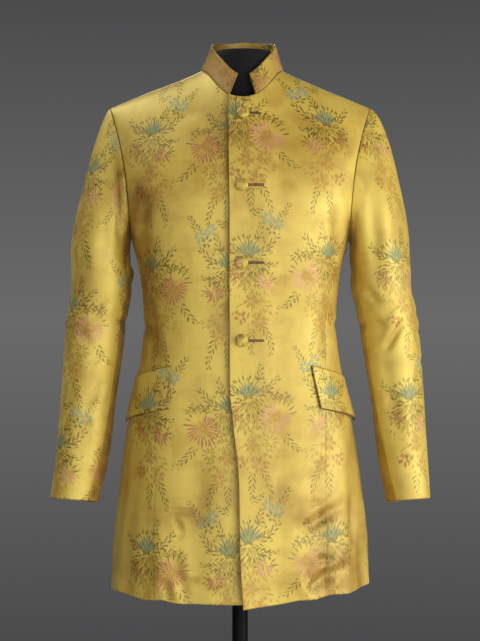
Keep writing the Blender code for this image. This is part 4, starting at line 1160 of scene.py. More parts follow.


# Each patch of painted shade, which browns the cloth: the view it is seen in; across, height, half width and
# half height; its share.
BODY_SHADE_PATCHES = (
    ("front", -164, 1150, 28, 120, 1.50),
    ("front", -150, 1010, 22, 80, 0.45),
    ("front", -150, 860, 40, 60, 0.15),
    ("front", -110, 1240, 60, 60, 0.30),
    ("front", 70, 1345, 90, 50, 0.46),
    ("front", 40, 780, 40, 60, 0.20),
    ("front", -60, 1350, 60, 40, 0.25),
    ("front", 20, 1250, 60, 60, 0.25),
    ("front", 66, 1130, 66, 160, 0.44),
    ("front", 92, 850, 84, 130, 0.50),
    ("front", 150, 740, 44, 80, 0.20),
    ("front", -32, 1060, 18, 60, 0.45),
    ("front", -22, 800, 22, 80, 0.35),
    ("front", -22, 660, 18, 60, 0.45),
    ("front", -88, 745, 46, 20, 0.50),
    ("front", -150, 650, 40, 34, 0.12),
    ("front", 122, 748, 50, 22, 0.70),
    ("front", 146, 650, 54, 34, 1.30),
    ("front", 60, 640, 40, 18, 0.30),
    ("front", 178, 1176, 9, 24, 1.00),
    ("front", -178, 1176, 12, 30, 1.00),
    ("back", -90, 1300, 80, 50, 0.35),
    ("back", 70, 1200, 60, 80, 0.30),
    ("back", -40, 1010, 50, 60, 0.40),
    ("back", 110, 930, 50, 60, 0.35),
    ("back", -110, 780, 50, 50, 0.40),
    ("back", 60, 690, 70, 30, 0.45),
    ("left", -20, 1120, 50, 70, 0.35),
    ("left", 30, 900, 40, 60, 0.35),
    ("left", -30, 700, 60, 30, 0.40),
    ("right", 10, 1120, 50, 90, 0.50),
    ("right", -20, 880, 50, 60, 0.35),
    ("right", 30, 680, 60, 30, 0.40),
)
# Patches of painted shade on the sleeves, in the same columns.
SLEEVE_SHADE_PATCHES = (
    ("front", -196, 1290, 12, 70, 0.55),
    ("front", -236, 1090, 20, 50, 0.35),
    ("front", -262, 900, 16, 60, 0.30),
    ("front", 186, 1160, 7, 46, 1.00),
    ("front", -187, 1160, 7, 46, 1.00),
    ("front", 240, 1040, 14, 40, 0.30),
    ("front", 284, 900, 14, 60, 0.25),
    ("back", 240, 1060, 30, 40, 0.40),
    ("back", -240, 1050, 30, 40, 0.40),
    ("left", 10, 1200, 30, 60, 0.30),
    ("right", 0, 1180, 30, 60, 0.30),
)
# Painted shade on the under sleeves, which face the body and lie in shade, for either sleeve at those
# heights.
UNDER_HEIGHTS = (0.80, 1.00, 1.20)  # heights at which the under sleeves' painted shade is given
UNDER_SLEEVE_SHADE = {1: (0.95, 0.60, 0.15), -1: (0.85, 0.85, 0.85)}
VALLEY_SHADE, VALLEY_DEPTH = 0.42, 0.0034  # a hollow of that depth gets that much painted shade
LAP_SHADOW, LAP_SHADOW_WIDTH = 0.75, 0.0065  # painted shadow that the buttoned edge casts on the under front beside it


def painted_shade_amount(points, normals, relief, rows):
    """How much painted shade the cloth gets, 0 to 1: more in its hollows and in listed patches."""
    amount = VALLEY_SHADE * np.clip(-relief / VALLEY_DEPTH, 0.0, 1.0)
    for view, across, height, half_width, half_height, share in rows:
        seen, axis = facing(normals, view)
        beside = (points[..., axis] - across * MM) / (half_width * MM)
        above = (points[..., 2] - height * MM) / (half_height * MM)
        amount = amount + share * np.exp(-(beside**2) - above**2) * seen
    return np.clip(amount, 0.0, 1.0)


BUTTON_PULL, BUTTON_PULL_WIDTH = 0.0005, 0.014  # each button draws the cloth in round itself
BUTTON_PULL_FROM, BUTTON_PULL_FADE = 0.03, 0.02  # only the front is pulled in
EDGE_HEIGHTS = (0.58, 0.80, 0.98, 1.30, 1.50)
EDGE_RISE = {1: (0.0050, 0.0034, 0.0016, 0.0008, 0.0), -1: (-0.0034, -0.0026, -0.0012, -0.0006, 0.0)}
EDGE_RISE_WIDTH = {1: 0.022, -1: 0.016}


def body_relief(theta, w, points, normals):
    """Everything that shapes the body's cloth beyond the CAD surface."""
    relief = crease_relief(points, normals, BODY_CREASES) + undulation(points) + drape(theta, w)
    for height in BUTTON_HEIGHTS:
        away = np.hypot(points[..., 0] - BUTTON_X, points[..., 2] - height)
        ahead = smoothstep((-points[..., 1] - BUTTON_PULL_FROM) / BUTTON_PULL_FADE)
        relief -= BUTTON_PULL * np.exp(-((away / BUTTON_PULL_WIDTH) ** 2)) * ahead
    return relief


# ============================== Cloth coordinates ===============================================
UNDER_OFFSET, BACK_OFFSET = (-0.1079, 0.2485), (0.0830, 0.1100)  # where these cuts lie on the cloth
NECK_DRIFT, NECK_DRIFT_FROM, NECK_DRIFT_WIDTH = -0.026, 1.20, 0.085  # the pattern strays at the neck
TABLE_FOOT, TABLE_AROUND, TABLE_UP = 0.585, 181, 160  # lowest height, and places each way


def travelled(points, axis):
    """Distance along the cloth from a grid's first line, along one of its axes."""
    steps = np.linalg.norm(np.diff(points, axis=axis), axis=-1).cumsum(axis=axis)
    return np.concatenate([np.zeros_like(steps.take([0], axis=axis)), steps], axis=axis)


class Table:
    """A field over evenly spaced places, first along its columns and then up its rows."""

    def __init__(self, field, columns, rows):
        self.field, self.columns, self.rows = field, columns, rows

    def at(self, column, row):
        """The field's value between its places."""
        (across, j), (up, i) = (
            self.share(value, places) for value, places in ((column, self.columns), (row, self.rows))
        )
        lower = self.field[i, j] * (1 - across) + self.field[i, j + 1] * across
        upper = self.field[i + 1, j] * (1 - across) + self.field[i + 1, j + 1] * across
        return lower * (1 - up) + upper * up

    @staticmethod
    def share(value, places):
        """How far a value is past a place, and which place that is."""
        number = (value - places[0]) / (places[-1] - places[0]) * (len(places) - 1)
        first = np.clip(number.astype(int), 0, len(places) - 2)
        return number - first, first


def body_tables():
    """Distance round the body from the centre front, and up it."""
    around, up = np.linspace(0, math.pi, TABLE_AROUND), np.linspace(TABLE_FOOT, TOP, TABLE_UP)
    points = body_point(*np.meshgrid(around, up))
    return Table(travelled(points, 1), around, up), Table(TABLE_FOOT + travelled(points, 0), around, up)


AROUND, UP = body_tables()


def body_uv(theta, w, side, behind=False):
    """Cloth coordinates in metres: across from the centre line, and up."""
    around, up = AROUND.at(np.abs(theta), w), UP.at(np.abs(theta), w)
    if behind:
        around = (around - AROUND.at(np.full(theta.shape, math.pi), w)) * side
        return np.stack([around, up], axis=-1) + BACK_OFFSET
    around = around * np.sign(theta)
    if side < 0:
        return np.stack([around, up], axis=-1) + UNDER_OFFSET
    rise = smoothstep((up - NECK_DRIFT_FROM) / (TOP - NECK_DRIFT_FROM))
    drift = NECK_DRIFT * rise * np.exp(-((around / NECK_DRIFT_WIDTH) ** 2))
    return np.stack([around - drift, up], axis=-1)


# ============================== Cloth as closed shells ==========================================
PRESSED_SHADE = 0.22  # the painted shade of a long pressed seam, as a share of an armhole's
PRESSED_TO, PRESSED_FADE = ARMPIT_Z - 0.02, 0.03
# Painted shade in the deep fold under each arm: place, half width, height, half height and strength.
ARM_FOLD_X, ARM_FOLD_HALF, ARM_FOLD_Z, ARM_FOLD_HEIGHT, ARM_FOLD_SHADE = 0.1755, 0.0050, 1.198, 0.026, 0.9
RIM_FOLD, RIM_SEAM = 0.0012, 0.0009  # how far the painted shade beside a folded edge and a seam reaches
FINEST = 0.06  # how far the rounding of a folded edge stops short of nothing, so no face is empty
SEAM_RIDGE_WIDTH = 0.0030


def distances(points):
    """How far each point of a grid is from its four edges, along the cloth."""
    across, up = travelled(points, 1), travelled(points, 0)
    return {"left": across, "right": across[:, -1:] - across, "bottom": up, "top": up[-1:] - up}


def under_arm(points):
    """Painted shade in the deep fold where the sleeve's front seam meets the body's side."""
    beside = (np.abs(points[..., 0]) - ARM_FOLD_X) / ARM_FOLD_HALF
    above = (points[..., 2] - ARM_FOLD_Z) / ARM_FOLD_HEIGHT
    return ARM_FOLD_SHADE * np.exp(-(beside**2) - above**2) * (points[..., 1] < 0)


def wall(points, normals, thick, free, seams, raised, seam_shade=1.0, spread=1.0):
    """Outer and inner faces of cloth, and its rim's painted shade: folded edges are round, seams drawn in."""
    reach = distances(points)
    fold, seam = (np.minimum.reduce([reach[edge] for edge in edges]) for edges in (free, seams))
    half = thick / 2
    rounding = np.sqrt(1 - (1 - np.clip(fold / half, FINEST, 1.0)) ** 2)
    swell = TURNED_EXTRA * np.exp(-((fold / TURNED_WIDTH) ** 2))
    groove = SEAM_RIDGE * np.exp(-(((seam - SEAM_RIDGE_AT) / SEAM_RIDGE_WIDTH) ** 2))
    groove -= SEAM_DIP * np.exp(-((seam / SEAM_DIP_WIDTH) ** 2))
    middle = points + normals * np.expand_dims(raised - half, -1)
    outer = middle + normals * np.expand_dims((half + swell) * rounding + groove, -1)
    # painted shade by folded edges and seams, and in the fold under the arm
    turned, sewn = (
        np.exp(-((gap / (spread * width)) ** 2)) for gap, width in ((fold, RIM_FOLD), (seam, RIM_SEAM))
    )
    rim = np.maximum.reduce([turned, seam_shade * sewn, under_arm(points)])
    return outer, middle - normals * np.expand_dims(half * rounding, -1), rim


def shell(name, outer, inner, uv, finish, materials, flipped=False):
    """One closed mesh from the two faces of a cloth, with its cloth coordinates and its painted shade."""
    rows, columns = outer.shape[:2]
    count = rows * columns
    index = np.arange(count).reshape(rows, columns)
    quads = np.stack([index[:-1, :-1], index[:-1, 1:], index[1:, 1:], index[1:, :-1]], axis=-1).reshape(-1, 4)
    edge = np.concatenate([index[0, :-1], index[:-1, -1], index[-1, :0:-1], index[:0:-1, 0]])
    after = np.roll(edge, -1)
    rim = np.stack([edge, edge + count, after + count, after], axis=-1)
    faces = np.concatenate([quads, rim, quads[:, ::-1] + count])
    if flipped:
        faces = faces[:, ::-1]
    mesh = bpy.data.meshes.new(name)
    mesh.from_pydata(np.concatenate([outer, inner]).reshape(-1, 3).tolist(), [], faces.tolist())
    for material in materials:
        mesh.materials.append(material)
    inside = np.zeros(len(faces), int)
    inside[-len(quads) :] = len(materials) - 1
    mesh.polygons.foreach_set("material_index", inside)
    for layer, values in (("cloth", uv), ("finish", np.stack(finish, axis=-1))):
        corners = values.reshape(-1, 2)[faces.ravel() % count].ravel()
        mesh.uv_layers.new(name=layer).data.foreach_set("uv", corners)
    mesh.shade_smooth()
    return link(name, mesh)


def link(name, mesh):
    made = bpy.data.objects.new(name, mesh)
    bpy.context.scene.collection.objects.link(made)
    return made


def stands_for(piece, node):
    """Puts a piece under the root body and hides the CAD node that it goes with."""
    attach(piece, "root")
    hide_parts(node)


def declare_cloth(piece, node):
    """Puts a piece of cloth under the root body and hides its CAD node."""
    stands_for(piece, node)


def edge_relief(points, w, side):
    """The buttoned front's edge stands off and the front beneath it draws in, more towards the hem."""
    beyond = (points[..., 0] - front_edge_x(w, 1)) / EDGE_RISE_WIDTH[side]
    return np.interp(w, EDGE_HEIGHTS, EDGE_RISE[side]) * np.exp(-(beyond**2))


def make_panel(kind, side, suffix, grid, free, seams):
    """One cut of the body, with its relief, its painted shade and its free and seamed edges."""
    grid = on_side(grid, side)
    theta, w = grid[..., 0], grid[..., 1]
    points, normals = on_body(grid)
    raised = body_relief(theta, w, points, normals)
    shade_amount = painted_shade_amount(points, normals, raised, BODY_SHADE_PATCHES)
    if kind == "front":
        raised = raised + (over_lift(points[..., 0]) if side > 0 else 0.0) + edge_relief(points, w, side)
        # the front beneath the buttoned edge gets a strip of painted shadow
        if side < 0:
            beside = (points[..., 0] - front_edge_x(w, 1)) / LAP_SHADOW_WIDTH
            shade_amount = np.clip(shade_amount + LAP_SHADOW * np.exp(-(beside**2)), 0.0, 1.0)
    seam_shade = PRESSED_SHADE + (1 - PRESSED_SHADE) * smoothstep((w - PRESSED_TO) / PRESSED_FADE)
    outer, inner, rim = wall(points, normals, CLOTH, free, seams, raised, seam_shade)
    uv = body_uv(theta, w, side, behind=kind == "back")
    node = f"{kind}_{suffix}"
    piece = shell(node + "_cloth", outer, inner, uv, (rim, shade_amount), (BROCADE, LINING))
    declare_cloth(piece, node)


def make_body(side, suffix):
    centre, outside = ("left", "right") if side > 0 else ("right", "left")
    make_panel("front", side, suffix, front_grid(side), (centre, "bottom"), (outside, "top"))
    for kind, grid in (("side", side_grid(side)), ("back", back_grid(side))):
        make_panel(kind, side, suffix, grid, ("bottom",), ("left", "right", "top"))


# ============================== Sleeves =========================================================
# Each sleeve panel: from and to round the sleeve in degrees, and about how wide it is.
SLEEVE_SPANS = {"top": (SLEEVE_HIND - 360, ARMHOLE_FRONT, 0.19), "under": (ARMHOLE_FRONT, SLEEVE_HIND, 0.13)}
CAP_LENGTH, TUBE_LENGTH = 0.21, 0.41  # about how long they are, to space the grid lines
SLEEVE_ZERO_DEG, SLEEVE_TABLE_AROUND, SLEEVE_TABLE_DOWN = 30.0, 361, 81
SLEEVE_OFFSET = {1: (0.0473, 0.090), -1: (0.0083, 0.170)}  # where each is cut out of the cloth
SEAM_TURN = ((0.0, 0.6, 1.1, 1.6, 2.0), (0, 4, 14, 11, -6))  # the inner seam's swing in degrees, by v
SLEEVE_SETTLE = 0.06  # over this share of the cap, the sleeve's relief grows in from its seam


def sleeve_uv(phi, v, side):
    """Cloth coordinates on a sleeve: across from its outer front line, and up from the cuff."""
    turn = np.radians(np.linspace(-180, 540, SLEEVE_TABLE_AROUND))
    down = np.linspace(0, 2, SLEEVE_TABLE_DOWN)
    points = sleeve_point(*np.meshgrid(turn, down), side)
    around, fallen = travelled(points, 1), travelled(points, 0)
    zero = np.searchsorted(turn, math.radians(SLEEVE_ZERO_DEG))
    across, up = around - around[:, zero : zero + 1], fallen[-1:] - fallen
    across, up = (Table(field, turn, down).at(phi, v) for field in (across, up))
    return np.stack([across * -side, up], axis=-1) + SLEEVE_OFFSET[side]


def make_sleeve(side, suffix):
    """A sleeve's two panels: each hangs from the armhole, with its own creases and painted shade."""
    v = np.concatenate([graded(CAP_LENGTH), 1 + graded(TUBE_LENGTH)[1:]])
    mirror = np.array((side, 1, 1))
    for part, (start, stop, width) in SLEEVE_SPANS.items():
        turn = np.interp(v, *SEAM_TURN)[:, None]
        first, last = start + turn * (part == "under"), stop + turn * (part == "top")
        phi = np.radians(first + (last - first) * graded(width))
        down = np.broadcast_to(v[:, None], phi.shape)
        points, normals = (surface(phi, down, side) * mirror for surface in (sleeve_point, sleeve_normal))
        raised = crease_relief(points, normals, SLEEVE_CREASES[suffix]) + undulation(points)
        raised *= smoothstep(down / SLEEVE_SETTLE)
        seam_shade = PRESSED_SHADE + (1 - PRESSED_SHADE) * smoothstep(1 - down / SLEEVE_SETTLE)
        seams = ("left", "right", "bottom")
        outer, inner, rim = wall(points, normals, CLOTH, ("top",), seams, raised, seam_shade)
        shade_amount = painted_shade_amount(points, normals, raised, SLEEVE_SHADE_PATCHES)
        # painted shade on the under sleeve
        if part == "under":
            shade_amount = shade_amount + np.interp(points[..., 2], UNDER_HEIGHTS, UNDER_SLEEVE_SHADE[side])
        node = f"sleeve_{part}_{suffix}"
        uv = sleeve_uv(phi, down, side)
        finish = rim, np.clip(shade_amount, 0.0, 1.0)
        piece = shell(node + "_cloth", outer, inner, uv, finish, (BROCADE, LINING), flipped=side < 0)
        declare_cloth(piece, node)


# ============================== Collar and flaps ================================================
COLLAR_LENGTH, COLLAR_RISE = 0.40, 0.062  # about how long and high it is
COLLAR_OFFSET = (0.020, 0.655)  # where it is cut out of the cloth
COLLAR_SHADES = (1.90, 0.60)  # painted shade of the wearer's right half, turned from the key light, and of the left one
FLAP_STEP, FLAP_ARC_STEPS = 0.0030, 401
FLAP_SHADE, FLAP_SPREAD = {1: 0.00, -1: 0.12}, 1.5  # painted shade over the whole flap on the wearer's right, and how much wider the painted shade by its edges is


def collar_foot(psi):
    """Points on the neckline, lifted with the buttoned front where that front carries them."""
    foot, normals = on_body(neckline(psi))
    on_over = (psi > 0) & (psi < math.pi / 2)
    return foot + normals * np.where(on_over, over_lift(foot[..., 0]), 0.0)[..., None]


def make_collar():
    start = math.asin(NECK_OPENING / NECK_HALF)
    share = graded(COLLAR_LENGTH)
    psi = start + (2 * math.pi - 2 * start) * share
    psi = np.where(psi > math.pi, psi - 2 * math.pi, psi)
    foot = collar_foot(psi)
    tip = math.asin(COLLAR_TIP_X / COLLAR_TOP_HALF)
    top_psi = np.sign(psi) * (tip + (math.pi - tip) * (np.abs(psi) - start) / (math.pi - start))
    x, y = outline(top_psi, COLLAR_TOP_HALF, COLLAR_TOP_FRONT, COLLAR_TOP_BACK)
    top = np.stack([x + NECK_SHIFT, y, monotone(np.degrees(np.abs(top_psi)), COLLAR_TOP_Z)], axis=-1)
    t = graded(COLLAR_RISE)[:, None, None]
    foot = foot + unit(top - foot) * SEAM_GAP
    points = foot[None] * (1 - t) + top[None] * t
    up = np.broadcast_to(top - foot, points.shape)
    normals = unit(np.cross(np.gradient(points, axis=1), up))
    free = ("left", "right", "top")
    outer, inner, rim = wall(points, normals, COLLAR_WALL, free, ("bottom",), undulation(points))
    # the collar's painted shade, heavier on the half turned from the key light
    shade_amount = np.broadcast_to(np.where(psi < 0, *COLLAR_SHADES), rim.shape)
    uv = np.stack([travelled(points, 1), travelled(points, 0)], axis=-1) + COLLAR_OFFSET
    piece = shell("collar_cloth", outer, inner, uv, (rim, shade_amount), (BROCADE,))
    declare_cloth(piece, "collar")


def flap_grid(side):
    """(theta, w) over a flap, and how far each point stands off: bottom edge up, front to rear."""
    level = FLAP_CORNER_Z - FLAP_HEIGHT / 2
    fine = np.linspace(0, math.pi, FLAP_ARC_STEPS)
    arcs = travelled(body_point(fine, level), 0)
    start = np.interp(float(theta_at_x(FLAP_CORNER_X[side], FLAP_CORNER_Z)), fine, arcs)
    along, down = np.meshgrid(graded(FLAP_LENGTH, FLAP_STEP), 1 - graded(FLAP_HEIGHT, FLAP_STEP))
    slant = math.radians(FLAP_SLANT_DEG)
    arc = start + FLAP_LENGTH * math.cos(slant) * along + FLAP_LEAN[side] * down
    w = FLAP_CORNER_Z - FLAP_LENGTH * math.sin(slant) * along - FLAP_HEIGHT * down
    share = FLAP_FRONT_SHARE + (1 - FLAP_FRONT_SHARE) * along
    stand = FLAP_GAP + FLAP_STAND[side] * down**FLAP_CURL * share
    return np.stack([np.interp(arc, arcs, fine), w], axis=-1), stand


def flap_rise(grid, stand, points):
    """How far a flap's outer face stands off the body surface."""
    return stand + FLAP_WALL + undulation(points) + drape(grid[..., 0], grid[..., 1])


def make_flap(side, suffix):
    grid, stand = flap_grid(side)
    grid, stand = on_side(grid, side), stand[:, ::side]
    points, normals = on_body(grid)
    raised, free = flap_rise(grid, stand, points), ("left", "right", "bottom")
    outer, inner, rim = wall(points, normals, FLAP_WALL, free, ("top",), raised, spread=FLAP_SPREAD)
    # painted shade over the whole flap on the wearer's right
    shade_amount = np.full(rim.shape, FLAP_SHADE[side])
    uv = body_uv(grid[..., 0], grid[..., 1], side)
    piece = shell(f"flap_{suffix}_cloth", outer, inner, uv, (rim, shade_amount), (BROCADE, LINING))
    declare_cloth(piece, "flap_" + suffix)


# ============================== Buttons and stitching ===========================================
BUTTON_SEGMENTS, BUTTON_RINGS, BUTTON_BACK_RINGS = 56, 16, 4
BUTTON_TOP_HOLE = 0.04  # where its first ring lies: an angle from the top, in radians
BUTTON_FOLDS, BUTTON_FOLD = 19, 0.012  # gathers under its rim, and half their depth as a share of its radius
BUTTON_FOLD_AT, BUTTON_FOLD_WIDTH = 0.5, 0.0022  # they are deepest at that share of its edge's height
# The spot of the cloth that covers each button.
BUTTON_CLOTH = ((0.143, 0.664), (0.140, 0.668), (0.144, 0.894), (0.154, 1.128))


def on_front(x, z):
    """(theta, w) on the front at x and z."""
    x, z = np.broadcast_arrays(np.asarray(x, float), np.asarray(z, float))
    low, high = np.full(z.shape, LEVELS[0][0]), np.full(z.shape, TOP)
    for _ in range(HALVINGS):
        w = (low + high) / 2
        below = body_point(theta_at_x(x, level_of(w)), w)[..., 2] < z
        low, high = np.where(below, w, low), np.where(below, high, w)
    return theta_at_x(x, level_of(w)), w


def over_front(x, z):
    """Points and normals on the buttoned front's outer face."""
    theta, w = on_front(x, z)
    points, normals = body_point(theta, w), body_normal(theta, w)
    raised = body_relief(theta, w, points, normals) + over_lift(points[..., 0]) + edge_relief(points, w, 1)
    return points + normals * raised[..., None], normals


def tube_quads(rings, count, first=0):
    """Faces between rings of points that are numbered one ring after another."""
    quads = []
    for start in range(first, first + (rings - 1) * count, count):
        for i in range(count):
            a, b = start + i, start + (i + 1) % count
            quads.append((a, b, b + count, a + count))
    return quads


def tube_faces(rings, count, first=0):
    """The same with a flat cap at each end."""
    last = first + (rings - 1) * count
    caps = [tuple(range(first + count - 1, first - 1, -1)), tuple(range(last, last + count))]
    return caps + tube_quads(rings, count, first)


def button_rings():
    """Rings of a covered button, from its top down to its back: domed, and gathered under its rim."""
    edge = BUTTON_HEIGHT * BUTTON_EDGE
    turn = np.linspace(0, 2 * math.pi, BUTTON_SEGMENTS, endpoint=False)
    dome = np.linspace(BUTTON_TOP_HOLE, math.pi / 2, BUTTON_RINGS)
    under = np.linspace(0, 1, BUTTON_BACK_RINGS + 1)[1:]
    back = BUTTON_RADIUS - (BUTTON_RADIUS - BUTTON_BACK_RADIUS) * under
    front_level = edge + (BUTTON_HEIGHT - edge) * np.cos(dome)
    radius = np.concatenate([BUTTON_RADIUS * np.sin(dome), back])[:, None]
    level = np.concatenate([front_level, edge * np.sqrt(1 - under**2)])[:, None]
    gathered = np.exp(-(((level - edge * BUTTON_FOLD_AT) / BUTTON_FOLD_WIDTH) ** 2))
    radius = radius * (1 - BUTTON_FOLD * (1 + np.cos(BUTTON_FOLDS * turn)) * gathered)
    return np.stack([radius * np.cos(turn), radius * np.sin(turn), level + 0 * turn], axis=-1)


def make_button(number, height):
    """A button covered in the coat's cloth, with a flat back."""
    point, normal = (value[0] for value in over_front([BUTTON_X], [height]))
    rings = button_rings()
    ends = np.array([(0, 0, BUTTON_HEIGHT), (0, 0, 0)])
    local = np.concatenate([rings.reshape(-1, 3), ends])
    place = Vector(normal).to_track_quat("Z", "Y").to_matrix()
    points = local @ np.array(place).T + point + normal * BUTTON_GAP
    count, top = BUTTON_SEGMENTS, len(local) - 2
    last = top - count
    faces = [quad[::-1] for quad in tube_quads(len(rings), count)]
    for i in range(count):
        j = (i + 1) % count
        faces += [(top, i, j), (top + 1, last + j, last + i)]
    mesh = bpy.data.meshes.new("button")
    mesh.from_pydata(points.tolist(), [], faces)
    corners = [corner for face in faces for corner in face]
    flat = local[corners, :2] + BUTTON_CLOTH[number - 1]
    mesh.uv_layers.new(name="cloth").data.foreach_set("uv", flat.ravel())
    mesh.materials.append(BROCADE)
    mesh.shade_smooth()
    stands_for(link(f"button_{number}_covered", mesh), f"button_{number}")


STITCH_SIDES, STITCH_RADIUS, STITCH_ARCH = 6, 0.00030, 0.00035
STITCH_PLACES, STITCH_SWELL = (0.0, 0.2, 0.5, 0.8, 1.0), (0.35, 0.9, 1.0, 0.9, 0.35)  # along a stitch


def stitches(name, starts, stops, normals, radius=STITCH_RADIUS, arch=STITCH_ARCH):
    """Short bars of silk thread that arch over the cloth, all in one mesh."""
    turn = np.linspace(0, 2 * math.pi, STITCH_SIDES, endpoint=False)
    points, faces = [], []
    for start, stop, normal in zip(starts, stops, normals):
        beside = np.cross(normal, unit(stop - start))
        faces += tube_faces(len(STITCH_PLACES), STITCH_SIDES, len(points))
        for share, swell in zip(STITCH_PLACES, STITCH_SWELL):
            centre = start + (stop - start) * share + normal * arch * math.sin(math.pi * share)
            points += [centre + radius * swell * (math.cos(a) * beside + math.sin(a) * normal) for a in turn]
    mesh = bpy.data.meshes.new(name)
    mesh.from_pydata(np.array(points).tolist(), [], faces)
    mesh.materials.append(SILK)
    mesh.shade_smooth()
    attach(link(name, mesh), "root")


HOLE_START, HOLE_END, FIRST_HOLE_END = 0.0100, 0.0360, 0.0270  # x from and to, the top one's shorter
HOLE_HALF, HOLE_SLIT = 0.0021, 0.00015  # from the middle of the slit to a stitch's two ends
HOLE_PITCH, HOLE_LEAN = 0.00062, 0.0003  # from stitch to stitch, and how far each one leans
EYE_STITCHES, EYE_SPREAD_DEG, EYE_RADIUS = 9, 80, 0.0003  # the fan round the end of the slit
SUNK_SHARE = 0.5  # a stitch's ends lie that share of its radius off the cloth


def make_buttonhole(number, height):
    """A worked buttonhole: two banks of stitches along a slit, and a fan of them round its end."""
    end = FIRST_HOLE_END if number == 1 else HOLE_END
    run = np.arange(HOLE_START, end, HOLE_PITCH)
    fan = np.radians(np.linspace(-EYE_SPREAD_DEG, EYE_SPREAD_DEG, EYE_STITCHES))

    def ends(lean, half, eye):
        """One end of every stitch: the upper bank's, the lower bank's and the fan's."""
        x = np.concatenate([run + lean, run + lean, end + eye * np.cos(fan)])
        z = height + np.concatenate([np.repeat((half, -half), len(run)), eye * np.sin(fan)])
        return over_front(x, z)

    (start, normals), (stop, _) = ends(0.0, HOLE_SLIT, EYE_RADIUS), ends(HOLE_LEAN, HOLE_HALF, HOLE_HALF)
    lift = normals * STITCH_RADIUS * SUNK_SHARE
    stitches(f"buttonhole_{number}", start + lift, stop + lift, normals)


PICK_STITCHES, PICK_LENGTH = 11, 0.0030
PICK_INSET, PICK_FROM_ROW = 0.0014, 8  # from the flap's front edge, and grid rows from its ends
PICK_RADIUS, PICK_ARCH = 0.0007, 0.0001


def make_pick_stitches(side, suffix):
    """A row of small stitches down a flap's front edge."""
    grid, stand = flap_grid(side)
    column = np.searchsorted(graded(FLAP_LENGTH, FLAP_STEP) * FLAP_LENGTH, PICK_INSET)
    rows = np.linspace(PICK_FROM_ROW, len(grid) - 1 - PICK_FROM_ROW, PICK_STITCHES).astype(int)
    line, stand = grid[rows, column] * (side, 1), stand[rows, column]
    points, normals = on_body(line)
    raised = flap_rise(line, stand, points) + TURNED_EXTRA + STITCH_RADIUS
    points = points + normals * raised[:, None]
    step = unit(np.gradient(points, axis=0)) * PICK_LENGTH / 2
    stitches(f"pick_stitches_{suffix}", points - step, points + step, normals, PICK_RADIUS, PICK_ARCH)


# ============================== Dress form and its stand ========================================
POLE_RADIUS, SOCKET_DEPTH = 0.0130, 0.070
FIT = 0.0003  # space round the pole and at its ends, and above the hub
HUB_RADIUS, HUB_HEIGHT = 0.034, 0.040
HUB_RIM, HUB_FOOT = 0.4, 0.62  # height of its rim and radius of its foot, as shares
BASE_RADIUS, BASE_EDGE, BASE_FLOOR = 0.200, 0.0065, 0.0045  # the plate and the pole's seat in it
BASE_DISH, BASE_CHAMFER, BASE_LIP = 0.010, 0.002, 0.005
BOSS_RADIUS, BOSS_TOP, BOSS_CHAMFER = 0.027, 0.045, 0.003
BOSS_FLARE, FLARE_HIGH, FLARE_LOW = (0.002, 0.012), 0.012, 0.004
FORM_AROUND, FORM_UP, YOKE_UP, NECK_UP = 120, 70, 40, 30  # grid lines
FORM_FOOT = ((0.955, 0.0), (0.985, 0.0016))  # share of the width, and height, round its lower edge
FORM_FOOT_HEIGHT, FORM_CREASE_DEG = 0.006, 50
SPIN_STEPS, STEEL_CREASE_DEG = 96, 35
SOFT_EDGE, SOFT_FROM_DEG, SOFT_SEGMENTS = 0.0008, 20, 2  # the bevel of the stand's corners
MERGE = 1e-5  # points that come closer than this as a profile turns are one


def loft(name, rings):
    """A closed mesh through rings of points, from bottom to top."""
    mesh = bpy.data.meshes.new(name)
    mesh.from_pydata(np.concatenate(rings).tolist(), [], tube_faces(len(rings), len(rings[0])))
    return link(name, mesh)


def make_form():
    """Torso and neck in one skin, with a soft line where they meet."""
    around = np.linspace(0, 2 * math.pi, FORM_AROUND, endpoint=False)
    yoke = np.linspace(CHEST_Z, TOP, YOKE_UP)[1:-1]
    rings = [form_point(around, w) for w in (*np.linspace(FORM_BOTTOM, CHEST_Z, FORM_UP), *yoke)]
    middle = rings[0].mean(axis=0)
    foot = [middle + (rings[0] - middle) * (1, 1, 0) * share + (0, 0, z) for share, z in FORM_FOOT]
    rings[0] = rings[0] + (0, 0, FORM_FOOT_HEIGHT)
    torso = loft("form_skin", foot + rings)
    necks = []
    for z in np.linspace(NECK_COLUMN[0][0], NECK_COLUMN[-1][0], NECK_UP):
        x, y = outline(around, *(monotone(z, NECK_COLUMN, column) for column in (1, 2, 3)))
        necks.append(np.stack([x + NECK_SHIFT, y, np.full(around.shape, z)], axis=-1))
    neck = loft("neck_skin", necks)
    join = torso.modifiers.new("join", "BOOLEAN")
    join.operation, join.solver, join.object = "UNION", "EXACT", neck
    apply_modifiers(torso)
    bpy.data.objects.remove(neck)
    torso.data.materials.clear()
    torso.data.materials.append(JERSEY)
    torso.data.shade_smooth()
    torso.data.set_sharp_from_angle(angle=math.radians(FORM_CREASE_DEG))
    stands_for(torso, "form_torso")


def apply_modifiers(piece):
    bpy.context.view_layer.update()
    evaluated = piece.evaluated_get(bpy.context.evaluated_depsgraph_get())
    mesh = bpy.data.meshes.new_from_object(evaluated)
    piece.modifiers.clear()
    piece.data = mesh


def turned(name, profile, node, closed=True):
    """A profile of (radius, height) turned about Z, its corners rounded by a small bevel."""
    mesh = bpy.data.meshes.new(name)
    ends = list(range(len(profile))) + ([0] if closed else [])
    mesh.from_pydata([(r, 0.0, z) for r, z in profile], list(zip(ends, ends[1:])), [])
    mesh.materials.append(STEEL)
    piece = link(name, mesh)
    screw = piece.modifiers.new("turn", "SCREW")
    screw.steps = screw.render_steps = SPIN_STEPS
    screw.use_merge_vertices, screw.merge_threshold = True, MERGE
    soften = piece.modifiers.new("soften", "BEVEL")
    soften.width, soften.segments = SOFT_EDGE, SOFT_SEGMENTS
    soften.angle_limit = math.radians(SOFT_FROM_DEG)
    apply_modifiers(piece)
    piece.data.shade_smooth()
    piece.data.set_sharp_from_angle(angle=math.radians(STEEL_CREASE_DEG))
    stands_for(piece, node)


